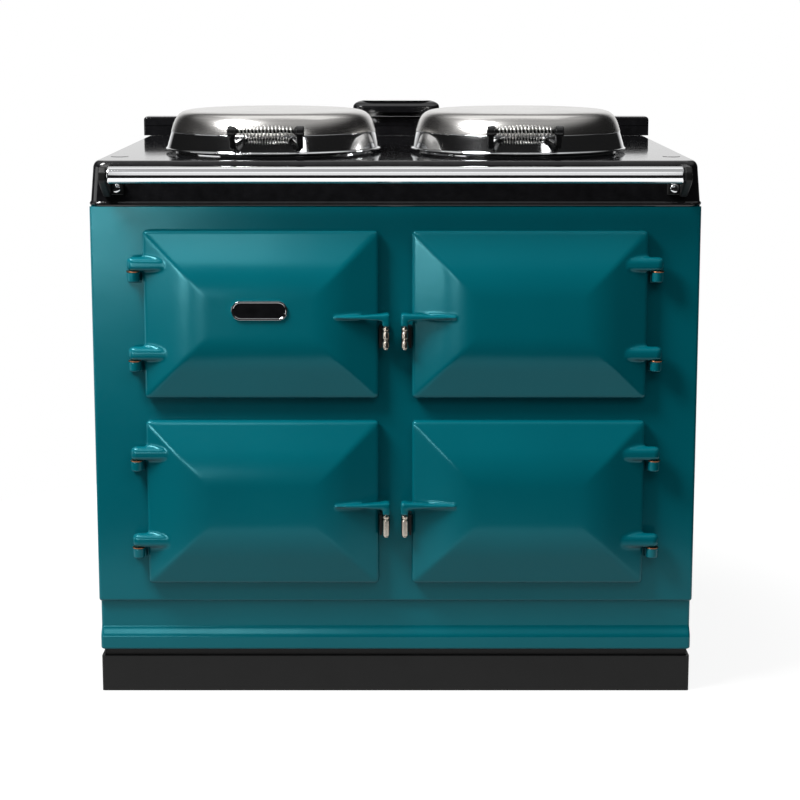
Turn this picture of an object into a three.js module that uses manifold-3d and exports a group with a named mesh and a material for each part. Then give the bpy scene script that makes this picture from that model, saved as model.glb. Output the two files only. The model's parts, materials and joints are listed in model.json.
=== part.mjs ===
// A cast iron range cooker: four doors on lift-off hinges, two hotplates under domed lids, a handrail.
// Millimetres, +Z up, +X to the right of someone facing the doors, origin under the middle of the box.
import * as THREE from "three";
import { mergeVertices } from "three/addons/utils/BufferGeometryUtils.js";
import Module from "manifold-3d";

const wasm = await Module();
wasm.setup();

// ---- The whole cooker ----
const bodyWidth = 987; // across the front plate
const bodyDepth = 700; // front plate's face to the back
const hobHeight = 888; // floor to the flat of the top plate
const railReach = 60; // front plate's face to the front of the handrail
const seat = 0.3; // gap between two pieces that rest on each other

// ---- Plinth, skirt and panels ----
const plinthHeight = 60;
const plinthInset = 2; // behind and beside the front plate
const plinthWall = 9;
const deckThickness = 5;
const shadowGap = 12; // height of the dark recess over the plinth
const shadowInset = 6;
const skirtHeight = 83;
const skirtThickness = 6;
const skirtRecess = 8; // upper skirt behind the front plate's face
const mouldingHeight = 32;
const plateThickness = 8;
const plateReturn = 50; // how far the front plate and the skirt turn back along the sides
const returnThickness = 5;
const panelThickness = 3;
const plateCorner = 5;

// ---- Top plate ----
const fasciaHeight = 73;
const beadReach = 1.5; // bead at the foot of the fascia, past the front plate
const hobEdgeInset = 13; // where the flat begins, behind the front plate's face
const hobThickness = 10;
const fasciaWall = 8;
const fasciaCorner = 20;

// ---- Doors ----
const doorSideMargin = 86.5;
const doorCentreMargin = 27;
const doorTopMargin = 37.3;
const doorBottomMargin = 36.7;
const doorRowGap = 37.5;
const doorSealGap = 2;
const doorRim = 16; // thickness of the straight edge
const doorRelief = 25; // how far the middle stands before the edge
const doorSlope = 77; // width of the sloping band round the middle
const doorWall = 8;
const doorCorner = 6;
const doorOverlap = 20; // how far a door covers the plate round its mouth
const plugClearance = 6; // a plug swings out of its mouth, so it is smaller all round
const plugDepth = 28;
const controlPlugDepth = 12;

// ---- Hinges ----
const hingeOffset = 15; // axis beyond the door's edge
const hingeForward = 20; // axis before the front plate's face
const lugHeight = 22;
const lugRadius = 10;
const lugLength = 57;
const upperLugDrop = 53; // below the door's top edge
const lowerLugRise = 75; // above the door's bottom edge
const hingePinRadius = 5;
const hingeRunningGap = 0.4;
const hingeWasher = 2;
const bossHeight = 17;

// ---- Catches ----
const catchEnd = 8.5; // from the middle of the cooker to the end of a catch lug
const catchTip = 97.5; // from the middle of the cooker to the tip of its tapered fin
const catchBlock = 11;
const catchRise = 6;
const catchDrop = 15;
const rollerOffset = 15.3;
const rollerForward = 30;
const rollerRadius = 5.7;
const rollerLength = 34;
const rollerPinRadius = 2.4;
const rollerRunningGap = 0.4;
const keeperGap = 1.2;

// ---- Ovens and controls ----
const ovenDepth = 480;
const ovenWall = 8;
const ovenFlange = 8;
const runnerReach = 9;
const runnerHeight = 6;
const runnerPitch = 52;
const firstRunner = 46;
const runnerStart = 44;
const rackClearance = 2;
const rackRodRadius = 3;
const rackFront = 62;
const rackDepth = 410;
const rackBarPitch = 24;
const controlDepth = 84;
const controlWall = 3;
const controlUnitDepth = 16;
const knobRadius = 22;
const knobHeight = 24;
const knobSpindleRadius = 4;
const knobSpindleLength = 11;
const knobSpacing = 120;

// ---- Hotplates and lids ----
const lidCentreX = 211;
const lidCentreBack = 244; // behind the front plate's face
const lidSeamRadius = 176;
const lidSeamHeight = 36.3;
const lidRimRadius = lidSeamRadius + 10;
const lidRimHeight = 5;
const lidHeight = 74;
const lidShell = 3;
const recessRadius = lidSeamRadius - 6;
const recessTop = 24;
const lidSegments = 32;
const hotplateRadius = lidSeamRadius - 16;
const hotplateFlange = 5;
const hotplateTop = 8;
const hotplateDepth = 28;
const lidHingeBack = lidRimRadius + 30; // lid hinge axis behind the lid's centre
const lidHingeHeight = 22;
const barrelRadius = 9;
const barrelLength = 34;
const lidPinRadius = 5;
const earThickness = 9;

// ---- Lid handles ----
const handleForward = lidRimRadius + 13; // handle's axis before the lid's centre
const handleHeight = 45;
const coilLength = 95;
const coilTurns = 15;
const coilMiddleDiameter = 21.6;
const coilEndDiameter = 14;
const wireRadius = 1.3;
const wireSides = 5;
const stepsPerTurn = 8;
const coreRadius = 3;
const handleBlockWidth = 15;
const handleBlockRadius = 9;

// ---- Rear upstand and vent ----
const upstandDepth = 36;
const upstandHeight = 37;
const upstandWall = 4;
const ventWidth = 168;
const ventDepth = 58;
const ventRimBottom = 45.6;
const ventRimTop = 56.7;
const ventHeight = 68.4;
const ventNeckWidth = 140;
const ventNeckDepth = 16;

// ---- Handrail ----
const railRadius = 13.75;
const railDrop = 18.5; // axis below the flat of the top plate
const railSideMargin = 37.2; // rail's end inside the front plate's edge
const railBracketWidth = 12;
const railBracketHeight = 52;
const railBracketTop = 5; // below the flat of the top plate

// ---- Terminal box ----
const terminalWidth = 140;
const terminalHeight = 90;
const terminalDepth = 40;
const terminalRecess = 8;
const terminalX = -300;
const terminalZ = 130;
const glandRadius = 14;

// ---- Places worked out from the sizes above ----
const back = (bodyDepth + railReach) / 2;
const front = back - bodyDepth;
const halfWidth = bodyWidth / 2;
const skirtBottom = plinthHeight + shadowGap;
const skirtTop = skirtBottom + skirtHeight;
const plateBottom = skirtTop + seat;
const fasciaBottom = hobHeight - fasciaHeight;
const plateTop = fasciaBottom - seat;
const doorWidth = halfWidth - doorSideMargin - doorCentreMargin;
const doorHeight = (plateTop - plateBottom - doorTopMargin - doorBottomMargin - doorRowGap) / 2;
const doorX = doorCentreMargin + doorWidth / 2;
const upperRow = plateTop - doorTopMargin - doorHeight / 2;
const lowerRow = plateBottom + doorBottomMargin + doorHeight / 2;
const doorFront = doorSealGap + doorRim + doorRelief;
const mouthWidth = doorWidth - 2 * doorOverlap;
const mouthHeight = doorHeight - 2 * doorOverlap;
const mouthBack = plateThickness + seat; // front of what is bolted behind the front plate
const lidY = front + lidCentreBack;
const railY = front - railReach + railRadius;
const railZ = hobHeight - railDrop;
const railHalf = halfWidth - railSideMargin;
const panelInside = halfWidth - returnThickness;

// ---- Solids ----
function solid(geometry) {
  const bare = new THREE.BufferGeometry();
  const faces = geometry.index ? geometry.toNonIndexed() : geometry;
  bare.setAttribute("position", faces.getAttribute("position"));
  const merged = mergeVertices(bare, 1e-4);
  const vertProperties = merged.getAttribute("position").array;
  const triVerts = new Uint32Array(merged.index.array);
  return new wasm.Manifold(new wasm.Mesh({ numProp: 3, vertProperties, triVerts }));
}

function geometryOf(body) {
  const mesh = body.getMesh();
  const geometry = new THREE.BufferGeometry();
  geometry.setAttribute("position", new THREE.BufferAttribute(mesh.vertProperties, 3));
  geometry.setIndex(new THREE.BufferAttribute(mesh.triVerts, 1));
  geometry.computeVertexNormals();
  return geometry;
}

function join(first, ...others) {
  return others.reduce((whole, next) => whole.add(next), first);
}

function cut(first, ...tools) {
  return tools.reduce((whole, tool) => whole.subtract(tool), first);
}

// A box between a low and a high value on each axis.
function block(...ranges) {
  const size = ranges.map(([low, high]) => high - low);
  const middle = ranges.map(([low, high]) => (low + high) / 2);
  return solid(new THREE.BoxGeometry(...size).translate(...middle));
}

// A round bar between two points.
function bar(start, end, radius, sides = 16) {
  const from = new THREE.Vector3(...start);
  const to = new THREE.Vector3(...end);
  const along = to.clone().sub(from);
  const turn = new THREE.Quaternion();
  turn.setFromUnitVectors(new THREE.Vector3(0, 1, 0), along.clone().normalize());
  const geometry = new THREE.CylinderGeometry(radius, radius, along.length(), sides);
  geometry.applyQuaternion(turn);
  geometry.translate(...from.add(to).multiplyScalar(0.5).toArray());
  return solid(geometry);
}

// A turned piece standing along Z. Its profile holds [radius, height] points from the bottom up.
function turned(profile, segments = lidSegments) {
  const points = profile.map(([radius, height]) => new THREE.Vector2(radius, height));
  return solid(new THREE.LatheGeometry(points, segments).rotateX(Math.PI / 2));
}

// An outline of [y, z] points carried along X.
function prismX(outline, [low, high]) {
  const shape = new THREE.Shape(outline.map(([y, z]) => new THREE.Vector2(y, z)));
  const geometry = new THREE.ExtrudeGeometry(shape, { depth: high - low, bevelEnabled: false });
  return solid(geometry.rotateX(Math.PI / 2).rotateZ(Math.PI / 2).translate(low, 0, 0));
}

// An outline of [x, y] points carried along Z.
function prismZ(outline, [low, high]) {
  const shape = new THREE.Shape(outline.map(([x, y]) => new THREE.Vector2(x, y)));
  const geometry = new THREE.ExtrudeGeometry(shape, { depth: high - low, bevelEnabled: false });
  return solid(geometry.translate(0, 0, low));
}

// A rectangle with round corners, anticlockwise, the same number of points whatever its size.
function roundedOutline([left, right], [low, high], radius, steps = 2) {
  const corners = [
    [right - radius, low + radius],
    [right - radius, high - radius],
    [left + radius, high - radius],
    [left + radius, low + radius],
  ];
  return corners.flatMap(([x, y], quarter) =>
    Array.from({ length: steps + 1 }, (_, step) => {
      const angle = (quarter - 1 + step / steps) * (Math.PI / 2);
      return [x + radius * Math.cos(angle), y + radius * Math.sin(angle)];
    }),
  );
}

const levelRing = (outline, z) => outline.map(([x, y]) => [x, y, z]);
const frontRing = (outline, y) => outline.map(([x, z]) => [x, y, z]);

// A closed skin over rings of equal count, stacked the way that their thumb points.
function loft(rings) {
  const count = rings[0].length;
  const last = (rings.length - 1) * count;
  const index = [];
  for (let start = 0; start < last; start += count) {
    for (let i = 0; i < count; i++) {
      const next = (i + 1) % count;
      index.push(start + i, start + next, start + count + next);
      index.push(start + i, start + count + next, start + count + i);
    }
  }
  for (let i = 1; i < count - 1; i++) {
    index.push(0, i + 1, i);
    index.push(last, last + i, last + i + 1);
  }
  const geometry = new THREE.BufferGeometry();
  geometry.setAttribute("position", new THREE.Float32BufferAttribute(rings.flat(2), 3));
  geometry.setIndex(index);
  return solid(geometry);
}

// A round wire along points, with flat ends.
function wire(points, radius, sides) {
  const path = points.map((point) => new THREE.Vector3(...point));
  const tangents = path.map((_, i) => {
    const before = path[Math.max(i - 1, 0)];
    const after = path[Math.min(i + 1, path.length - 1)];
    return after.clone().sub(before).normalize();
  });
  let side = new THREE.Vector3(0, 0, 1).cross(tangents[0]).normalize();
  const rings = path.map((centre, i) => {
    side = side.clone().addScaledVector(tangents[i], -side.dot(tangents[i])).normalize();
    const other = tangents[i].clone().cross(side);
    return Array.from({ length: sides }, (_, k) => {
      const angle = (2 * Math.PI * k) / sides;
      const point = centre.clone().addScaledVector(side, radius * Math.cos(angle));
      return point.addScaledVector(other, radius * Math.sin(angle)).toArray();
    });
  });
  return loft(rings);
}

// ---- Finishes ----
function finish(color, roughness, metalness = 0) {
  return () => new THREE.MeshStandardMaterial({ color, roughness, metalness });
}

const tealEnamel = finish(0x00606b, 0.12);
const blackEnamel = finish(0x0c0d0e, 0.08);
const polishedSteel = finish(0xd4d6d8, 0.15, 1);
const nickel = finish(0xcfc8bd, 0.3, 1);
const satinBlack = finish(0x202020, 0.5);
const castIron = finish(0x3a3a3a, 0.6, 0.4);
const galvanised = finish(0x9a9da0, 0.45, 0.8);
const mineralWool = finish(0xc9b98f, 0.95);
const pressedAluminium = finish(0xb9bcbf, 0.35, 1);
const blackPlastic = finish(0x161616, 0.4);

function add(parent, name, body, makeMaterial) {
  const mesh = new THREE.Mesh(geometryOf(body), makeMaterial());
  mesh.name = name;
  parent.add(mesh);
}

// ---- Base and casing ----
function plinth() {
  const wide = halfWidth - plinthInset;
  const near = front + plinthInset;
  const outline = roundedOutline([-wide, wide], [near, back], 3);
  const risen = roundedOutline(
    [-wide + shadowInset, wide - shadowInset],
    [near + shadowInset, back - shadowInset],
    3,
  );
  const hollow = block(
    [-wide + plinthWall, wide - plinthWall],
    [near + plinthWall, back - plinthWall],
    [-1, skirtBottom - seat - deckThickness],
  );
  const box = loft([levelRing(outline, 0), levelRing(outline, plinthHeight)]);
  const riser = loft([levelRing(risen, plinthHeight - 1), levelRing(risen, skirtBottom - seat)]);
  return cut(join(box, riser), hollow);
}

// The plan of a piece that turns round both front corners, set in from the front plate's outside.
function frontPlan(sideInset, frontInset, radius) {
  const wide = halfWidth - sideInset;
  return roundedOutline([-wide, wide], [front + frontInset, front + plateReturn], radius);
}

function skirt() {
  const mouldingTop = skirtBottom + mouldingHeight;
  const levels = [
    [skirtBottom, 3.4, 3],
    [skirtBottom + 3, 1.3, 0.5],
    [mouldingTop - 12, 1.3, 0],
    [mouldingTop - 4, 1.5, 1.8],
    [mouldingTop + 1, 1.8, 5.4],
    [mouldingTop + 9, 2, skirtRecess],
    [skirtTop, 2, skirtRecess],
  ];
  const rings = levels.map(([z, side, near]) => levelRing(frontPlan(side, near, plateCorner), z));
  const inside = halfWidth - 2 - skirtThickness;
  const hollow = block(
    [-inside, inside],
    [front + skirtRecess + skirtThickness, front + plateReturn + 1],
    [skirtBottom - 1, skirtTop + 1],
  );
  return cut(loft(rings), hollow);
}

function doorMouth([near, far], row, side) {
  const wide = mouthWidth / 2;
  const high = mouthHeight / 2;
  const outline = roundedOutline(
    [side * doorX - wide, side * doorX + wide],
    [row - high, row + high],
    12,
  );
  return loft([frontRing(outline, far), frontRing(outline, near)]);
}

function frontPlate() {
  const bottomRound = 3;
  const rings = [
    levelRing(frontPlan(bottomRound, bottomRound, plateCorner), plateBottom),
    levelRing(frontPlan(0, 0, plateCorner), plateBottom + 2 * bottomRound),
    levelRing(frontPlan(0, 0, plateCorner), plateTop),
  ];
  const hollow = block(
    [-panelInside, panelInside],
    [front + plateThickness, front + plateReturn + 1],
    [plateBottom - 1, plateTop + 1],
  );
  const through = [front - 1, front + plateThickness + 1];
  const mouths = [upperRow, lowerRow].flatMap((row) =>
    [-1, 1].map((side) => doorMouth(through, row, side)),
  );
  return cut(loft(rings), hollow, ...mouths);
}

function sidePanel(side) {
  const outside = halfWidth - 1;
  const across = [side * outside, side * (outside - panelThickness)].sort((a, b) => a - b);
  const along = [front + plateReturn + seat, back];
  return block(across, along, [skirtBottom, fasciaBottom - seat]);
}

const backPanelHalf = halfWidth - 1 - panelThickness - seat;

function terminalOpening(margin) {
  return block(
    [terminalX - terminalWidth / 2 - margin, terminalX + terminalWidth / 2 + margin],
    [back - terminalRecess - terminalDepth - margin, back + 1],
    [terminalZ - terminalHeight / 2 - margin, terminalZ + terminalHeight / 2 + margin],
  );
}

function backPanel() {
  const sheet = block(
    [-backPanelHalf, backPanelHalf],
    [back - panelThickness, back],
    [skirtBottom, fasciaBottom - seat],
  );
  return cut(sheet, terminalOpening(seat));
}

function terminalBox() {
  const face = back - terminalRecess;
  const housing = block(
    [terminalX - terminalWidth / 2, terminalX + terminalWidth / 2],
    [face - terminalDepth, face],
    [terminalZ - terminalHeight / 2, terminalZ + terminalHeight / 2],
  );
  const gland = bar([terminalX, face - 2, terminalZ], [terminalX, back - 1, terminalZ], glandRadius);
  return join(housing, gland);
}

// ---- Top plate ----
// The outside of the top plate: a bead, a drafted fascia and a round top edge, grown forward by a gap.
function topPlateOutside(gap) {
  const levels = [
    [fasciaBottom, -beadReach],
    [fasciaBottom + 5, -beadReach],
    [fasciaBottom + 8, 0.5],
    [hobHeight - 11, 4.5],
    [hobHeight - 3.5, 8],
    [hobHeight, hobEdgeInset],
  ];
  const rings = levels.map(([z, inset]) => {
    const wide = halfWidth - inset;
    const outline = roundedOutline([-wide, wide], [front + inset - gap, back], fasciaCorner);
    return levelRing(outline, z);
  });
  return loft(rings);
}

function hotplateBore(side, radius, [low, high]) {
  const x = side * lidCentreX;
  return bar([x, lidY, low], [x, lidY, high], radius, lidSegments);
}

function topPlate() {
  const wide = halfWidth - hobEdgeInset - 2;
  const hollow = block(
    [-wide, wide],
    [front + fasciaWall + hobEdgeInset, back - fasciaWall],
    [fasciaBottom - 1, hobHeight - hobThickness],
  );
  const through = [hobHeight - hobThickness - 1, hobHeight + 1];
  const bores = [-1, 1].map((side) => hotplateBore(side, hotplateRadius + 1, through));
  // The back of the casting is square, so the round rear corners are filled.
  const squareBack = block(
    [-halfWidth + hobEdgeInset, halfWidth - hobEdgeInset],
    [back - 2 * fasciaCorner, back],
    [fasciaBottom, hobHeight],
  );
  return cut(join(topPlateOutside(0), squareBack), hollow, ...bores);
}

function hotplate() {
  return turned([
    [0, hobHeight - hotplateDepth],
    [hotplateRadius, hobHeight - hotplateDepth],
    [hotplateRadius, hobHeight + seat],
    [hotplateRadius + hotplateFlange, hobHeight + seat],
    [hotplateRadius + hotplateFlange, hobHeight + hotplateTop - 1.5],
    [hotplateRadius + hotplateFlange - 1.5, hobHeight + hotplateTop],
    [0, hobHeight + hotplateTop],
  ]);
}

function rearUpstand() {
  const near = back - upstandDepth;
  const low = hobHeight + seat;
  const high = hobHeight + upstandHeight;
  const round = 4;
  const outline = [
    [near, low],
    [near + upstandWall, low],
    [near + upstandWall, high - upstandWall],
    [back - upstandWall, high - upstandWall],
    [back - upstandWall, low],
    [back, low],
    [back, high],
    [near + round, high],
    [near + round * 0.3, high - round * 0.3],
    [near, high - round],
  ];
  const wide = halfWidth + 0.5;
  return prismX(outline, [-wide, wide]);
}

function ventCap() {
  const middle = back - ventDepth / 2;
  const neckMiddle = back - upstandDepth / 2;
  const levels = [
    [ventRimBottom, 0],
    [ventRimTop, 0],
    [ventRimTop + 5, 5],
    [ventHeight - 2, 13],
    [ventHeight, 23],
  ];
  const rings = levels.map(([height, inset]) => {
    const wide = ventWidth / 2 - inset;
    const deep = ventDepth / 2 - inset;
    const corner = Math.max(22 - inset, 4);
    const outline = roundedOutline([-wide, wide], [middle - deep, middle + deep], corner, 3);
    return levelRing(outline, hobHeight + height);
  });
  const neck = block(
    [-ventNeckWidth / 2, ventNeckWidth / 2],
    [neckMiddle - ventNeckDepth / 2, neckMiddle + ventNeckDepth / 2],
    [hobHeight + upstandHeight + seat, hobHeight + ventRimBottom + 1],
  );
  return join(loft(rings), neck);
}

// ---- Handrail ----
function handrail() {
  const profile = [
    [0, -railHalf],
    [railRadius - 4, -railHalf],
    [railRadius, -railHalf + 5],
    [railRadius, railHalf - 5],
    [railRadius - 4, railHalf],
    [0, railHalf],
  ];
  const points = profile.map(([radius, along]) => new THREE.Vector2(radius, along));
  const geometry = new THREE.LatheGeometry(points, 20).rotateZ(-Math.PI / 2);
  return solid(geometry.translate(0, railY, railZ));
}

function railBracket(side) {
  const inner = railHalf + seat;
  const across = [side * inner, side * (inner + railBracketWidth)].sort((a, b) => a - b);
  const top = hobHeight - railBracketTop;
  const foot = top - railBracketHeight;
  const nose = railY - railRadius + 0.5;
  const outline = [
    [nose + 6, railZ - 13],
    [front - 8, foot],
    [front + 12, foot],
    [front + 12, top],
    [nose + 8, top],
    [nose, top - 8],
    [nose, railZ - 7],
  ];
  const pad = block(
    [side * (inner - 20), side * (inner + 2)].sort((a, b) => a - b),
    [front - 6, front + 12],
    [foot + 3, foot + 25],
  );
  return cut(join(prismX(outline, across), pad), topPlateOutside(seat));
}

// ---- Ovens, racks and controls ----
function ovenLiner(side, row) {
  const x = side * doorX;
  const wide = mouthWidth / 2;
  const high = mouthHeight / 2;
  const near = front + mouthBack;
  const floor = near + ovenDepth;
  const shell = block(
    [x - wide - ovenWall, x + wide + ovenWall],
    [near, floor + ovenWall],
    [row - high - ovenWall, row + high + ovenWall],
  );
  const flange = block(
    [x - wide - 2 * ovenFlange, x + wide + 2 * ovenFlange],
    [near, near + ovenFlange],
    [row - high - 2 * ovenFlange, row + high + 2 * ovenFlange],
  );
  const cavity = block([x - wide, x + wide], [near - 1, floor], [row - high, row + high]);
  const runners = [];
  for (let rise = firstRunner; rise < mouthHeight - runnerPitch / 2; rise += runnerPitch) {
    for (const hand of [-1, 1]) {
      const across = [x + hand * (wide + 1), x + hand * (wide - runnerReach)].sort((a, b) => a - b);
      const level = row - high + rise;
      const along = [front + runnerStart, floor - 10];
      runners.push(block(across, along, [level - runnerHeight, level]));
    }
  }
  return join(cut(join(shell, flange), cavity), ...runners);
}

// A rack of bars on two cross rods, resting on the lowest pair of runners.
function ovenRack(side, row) {
  const x = side * doorX;
  const wide = mouthWidth / 2 - rackClearance - rackRodRadius;
  const level = row - mouthHeight / 2 + firstRunner + seat + rackRodRadius;
  const near = front + rackFront;
  const far = near + rackDepth;
  const rods = [near, (near + far) / 2, far].map((y) =>
    bar([x - wide, y, level], [x + wide, y, level], rackRodRadius, 6),
  );
  const gaps = Math.round((2 * wide) / rackBarPitch);
  for (let i = 0; i <= gaps; i++) {
    const across = x - wide + (2 * wide * i) / gaps;
    const half = rackRodRadius - 0.5;
    rods.push(block([across - half, across + half], [near, far], [level - half, level + half]));
  }
  return join(...rods);
}

function controlBox() {
  const wide = mouthWidth / 2;
  const high = mouthHeight / 2;
  const near = front + mouthBack;
  const shell = block(
    [-doorX - wide - controlWall, -doorX + wide + controlWall],
    [near, near + controlDepth + controlUnitDepth],
    [upperRow - high - controlWall, upperRow + high + controlWall],
  );
  const room = block(
    [-doorX - wide, -doorX + wide],
    [near - 1, near + controlDepth],
    [upperRow - high, upperRow + high],
  );
  const face = near + controlDepth;
  const holes = [-1, 1].map((hand) => {
    const x = -doorX + (hand * knobSpacing) / 2;
    const depth = face + knobSpindleLength + 1;
    return bar([x, face - 1, upperRow], [x, depth, upperRow], knobSpindleRadius + hingeRunningGap);
  });
  return cut(shell, room, ...holes);
}

// A knob on its spindle, its axis along Y and its origin on the control unit's face.
function knob() {
  const profile = [
    [0, -knobSpindleLength],
    [knobSpindleRadius, -knobSpindleLength],
    [knobSpindleRadius, seat],
    [knobRadius, seat],
    [knobRadius, 5],
    [knobRadius - 4, 8],
    [knobRadius - 5, knobHeight - 2],
    [knobRadius - 7, knobHeight],
    [0, knobHeight],
  ];
  const points = profile.map(([radius, along]) => new THREE.Vector2(radius, along));
  const body = solid(new THREE.LatheGeometry(points, 20).rotateX(Math.PI).rotateY(Math.PI));
  const rib = block([-3, 3], [-knobHeight - 3, -8], [-knobRadius + 6, knobRadius - 6]);
  return join(body, rib);
}

// Mineral wool fills the casing round the ovens, the control box and the hotplates.
function insulation() {
  const wide = panelInside - 1;
  const lower = block(
    [-wide + skirtThickness, wide - skirtThickness],
    [front + skirtRecess + skirtThickness + 1, back - panelThickness - seat],
    [skirtBottom, fasciaBottom],
  );
  const middle = block(
    [-wide, wide],
    [front + mouthBack, back - panelThickness - seat],
    [plateBottom + 1, fasciaBottom],
  );
  const topWide = halfWidth - hobEdgeInset - 3;
  const upper = block(
    [-topWide, topWide],
    [front + fasciaWall + hobEdgeInset + 1, back - fasciaWall - 1],
    [fasciaBottom - 1, hobHeight - hobThickness - seat],
  );
  const deep = front + mouthBack;
  const gap = seat;
  const rooms = [
    [1, upperRow],
    [-1, lowerRow],
    [1, lowerRow],
  ].flatMap(([side, row]) => {
    const across = mouthWidth / 2 + gap;
    const up = mouthHeight / 2 + gap;
    const x = side * doorX;
    return [
      block(
        [x - across - ovenWall, x + across + ovenWall],
        [deep - 1, deep + ovenDepth + ovenWall + gap],
        [row - up - ovenWall, row + up + ovenWall],
      ),
      block(
        [x - across - 2 * ovenFlange, x + across + 2 * ovenFlange],
        [deep - 1, deep + ovenFlange + gap],
        [row - up - 2 * ovenFlange, row + up + 2 * ovenFlange],
      ),
    ];
  });
  const across = mouthWidth / 2 + controlWall + gap;
  const up = mouthHeight / 2 + controlWall + gap;
  const controlRoom = block(
    [-doorX - across, -doorX + across],
    [deep - 1, deep + controlDepth + controlUnitDepth + gap],
    [upperRow - up, upperRow + up],
  );
  const depth = [hobHeight - hotplateDepth - gap, hobHeight];
  const bores = [-1, 1].map((side) => hotplateBore(side, hotplateRadius + 1, depth));
  const wool = join(lower, middle, upper);
  return cut(wool, ...rooms, controlRoom, ...bores, terminalOpening(gap));
}

// ---- Doors, in a frame at the door's middle on the front plate's face, hinge to +X ----
const hingeX = doorWidth / 2 + hingeOffset;
const lugLevels = [doorHeight / 2 - upperLugDrop, -doorHeight / 2 + lowerLugRise];

function doorRing(inset, depth, radius) {
  const wide = doorWidth / 2 - inset;
  const high = doorHeight / 2 - inset;
  return frontRing(roundedOutline([-wide, wide], [-high, high], radius), -depth);
}

function hingeLug(level) {
  const start = hingeX - lugLength;
  const steps = 5;
  const round = Array.from({ length: steps + 1 }, (_, step) => {
    const angle = (step / steps - 0.5) * Math.PI;
    return [hingeX + lugRadius * Math.cos(angle), -hingeForward + lugRadius * Math.sin(angle)];
  });
  const outline = [[start, -hingeForward - lugRadius], ...round, [start + 20, -hingeForward + 2]];
  const lug = prismZ(outline, [level - lugHeight / 2, level + lugHeight / 2]);
  const bore = bar(
    [hingeX, -hingeForward, level - lugHeight],
    [hingeX, -hingeForward, level + lugHeight / 2 - 3],
    hingePinRadius + hingeRunningGap,
  );
  return { lug, bore };
}

// The tapered fin and the block that the catch roller's pin hangs from.
function catchLug() {
  const middle = -doorX;
  const plane = (x, [near, far], [low, high]) => [
    [x, near, low],
    [x, near, high],
    [x, far, high],
    [x, far, low],
  ];
  const deep = -doorFront + 22;
  const fin = loft([
    plane(middle + catchTip, [-doorFront, -doorFront + 4], [-2, 1]),
    plane(middle + doorCentreMargin, [-doorFront, deep], [-6, 5]),
    plane(middle + catchEnd + 2, [-doorFront, deep], [-7, catchRise - 1]),
  ]);
  const head = block(
    [middle + catchEnd, middle + catchEnd + catchBlock],
    [-doorFront, deep],
    [-catchDrop, catchRise],
  );
  return join(fin, head);
}

function rollerPin() {
  const x = -doorX + rollerOffset;
  const end = -catchDrop - 3 - rollerLength;
  const pin = bar([x, -rollerForward, -catchDrop + 1], [x, -rollerForward, end - 1], rollerPinRadius, 10);
  const head = bar([x, -rollerForward, end - seat], [x, -rollerForward, end - 2], rollerPinRadius + 1.6, 10);
  return join(pin, head);
}

function catchRoller() {
  const low = -catchDrop - 3 - rollerLength;
  const groove = rollerRadius - 0.8;
  const profile = [
    [rollerPinRadius + rollerRunningGap, low],
    [rollerRadius, low],
    [rollerRadius, low + 13],
    [groove, low + 14.5],
    [rollerRadius, low + 16],
    [rollerRadius, low + rollerLength],
    [rollerPinRadius + rollerRunningGap, low + rollerLength],
    [rollerPinRadius + rollerRunningGap, low],
  ];
  const points = profile.map(([radius, height]) => new THREE.Vector2(radius, height));
  const geometry = new THREE.LatheGeometry(points, 12).rotateX(Math.PI / 2);
  return solid(geometry.translate(-doorX + rollerOffset, -rollerForward, 0));
}

function doorPocket(gap) {
  const wall = doorWall + gap;
  return [
    doorRing(doorOverlap - 2 + gap, doorSealGap, 4),
    doorRing(doorOverlap - 2 + gap, doorSealGap + doorRim - wall, 4),
    doorRing(doorSlope + wall / 2, doorFront - wall, 14),
  ];
}

function doorCasting() {
  const rings = [
    doorRing(0, doorSealGap, doorCorner),
    doorRing(0, doorSealGap + doorRim - 3, doorCorner),
    doorRing(3, doorSealGap + doorRim, doorCorner),
    doorRing(doorSlope - 10, doorFront - 2, 12),
    doorRing(doorSlope + 8, doorFront, 16),
  ];
  const [mouth, ...rest] = doorPocket(0);
  const opened = [mouth.map(([x, y, z]) => [x, y + 1, z]), ...rest];
  const lugs = lugLevels.map(hingeLug);
  const whole = join(loft(rings), catchLug(), rollerPin(), ...lugs.map(({ lug }) => lug));
  return cut(whole, loft(opened), ...lugs.map(({ bore }) => bore));
}

// The insulated plug: its core fills the casting's pocket and its face goes into the mouth.
function doorPlug(depth) {
  const wide = mouthWidth / 2 - plugClearance;
  const high = mouthHeight / 2 - plugClearance;
  const core = loft(doorPocket(0.4));
  const full = roundedOutline([-wide, wide], [-high, high], 8);
  const eased = roundedOutline([-wide + 3, wide - 3], [-high + 3, high - 3], 6);
  const face = loft([
    frontRing(eased, depth),
    frontRing(full, depth - 3),
    frontRing(full, -doorSealGap - 3),
  ]);
  return join(core, face);
}

// A cast bracket on the front plate, with the boss and the pin that a door's lug drops onto.
function hingeBracket(level) {
  const top = level - lugHeight / 2 - hingeWasher;
  const low = top - bossHeight;
  const axis = (z) => [hingeX, -hingeForward, z];
  const boss = bar(axis(low), axis(top), lugRadius, 14);
  const arm = block([hingeX - 7, hingeX + 7], [-hingeForward, -seat], [low + 2, top - 1]);
  const foot = block([hingeX - 11, hingeX + 11], [-5, -seat], [low - 3, top + 1]);
  const pin = bar(axis(top - 1), axis(level + lugHeight / 2 - 4), hingePinRadius, 14);
  return join(boss, arm, foot, pin);
}

// A black angle on the front plate behind and beside the closed door's roller.
function catchKeeper() {
  const middle = -doorX;
  const inner = middle + rollerOffset - rollerRadius;
  const cheek = middle + rollerOffset + rollerRadius + keeperGap;
  const outer = middle + doorCentreMargin - 1;
  const outline = [
    [inner, -6],
    [cheek, -6],
    [cheek, -rollerForward + 2],
    [outer, -rollerForward + 2],
    [outer, -seat],
    [inner, -seat],
  ];
  const top = -catchDrop - 3;
  return prismZ(outline, [top - rollerLength, top]);
}

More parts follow.
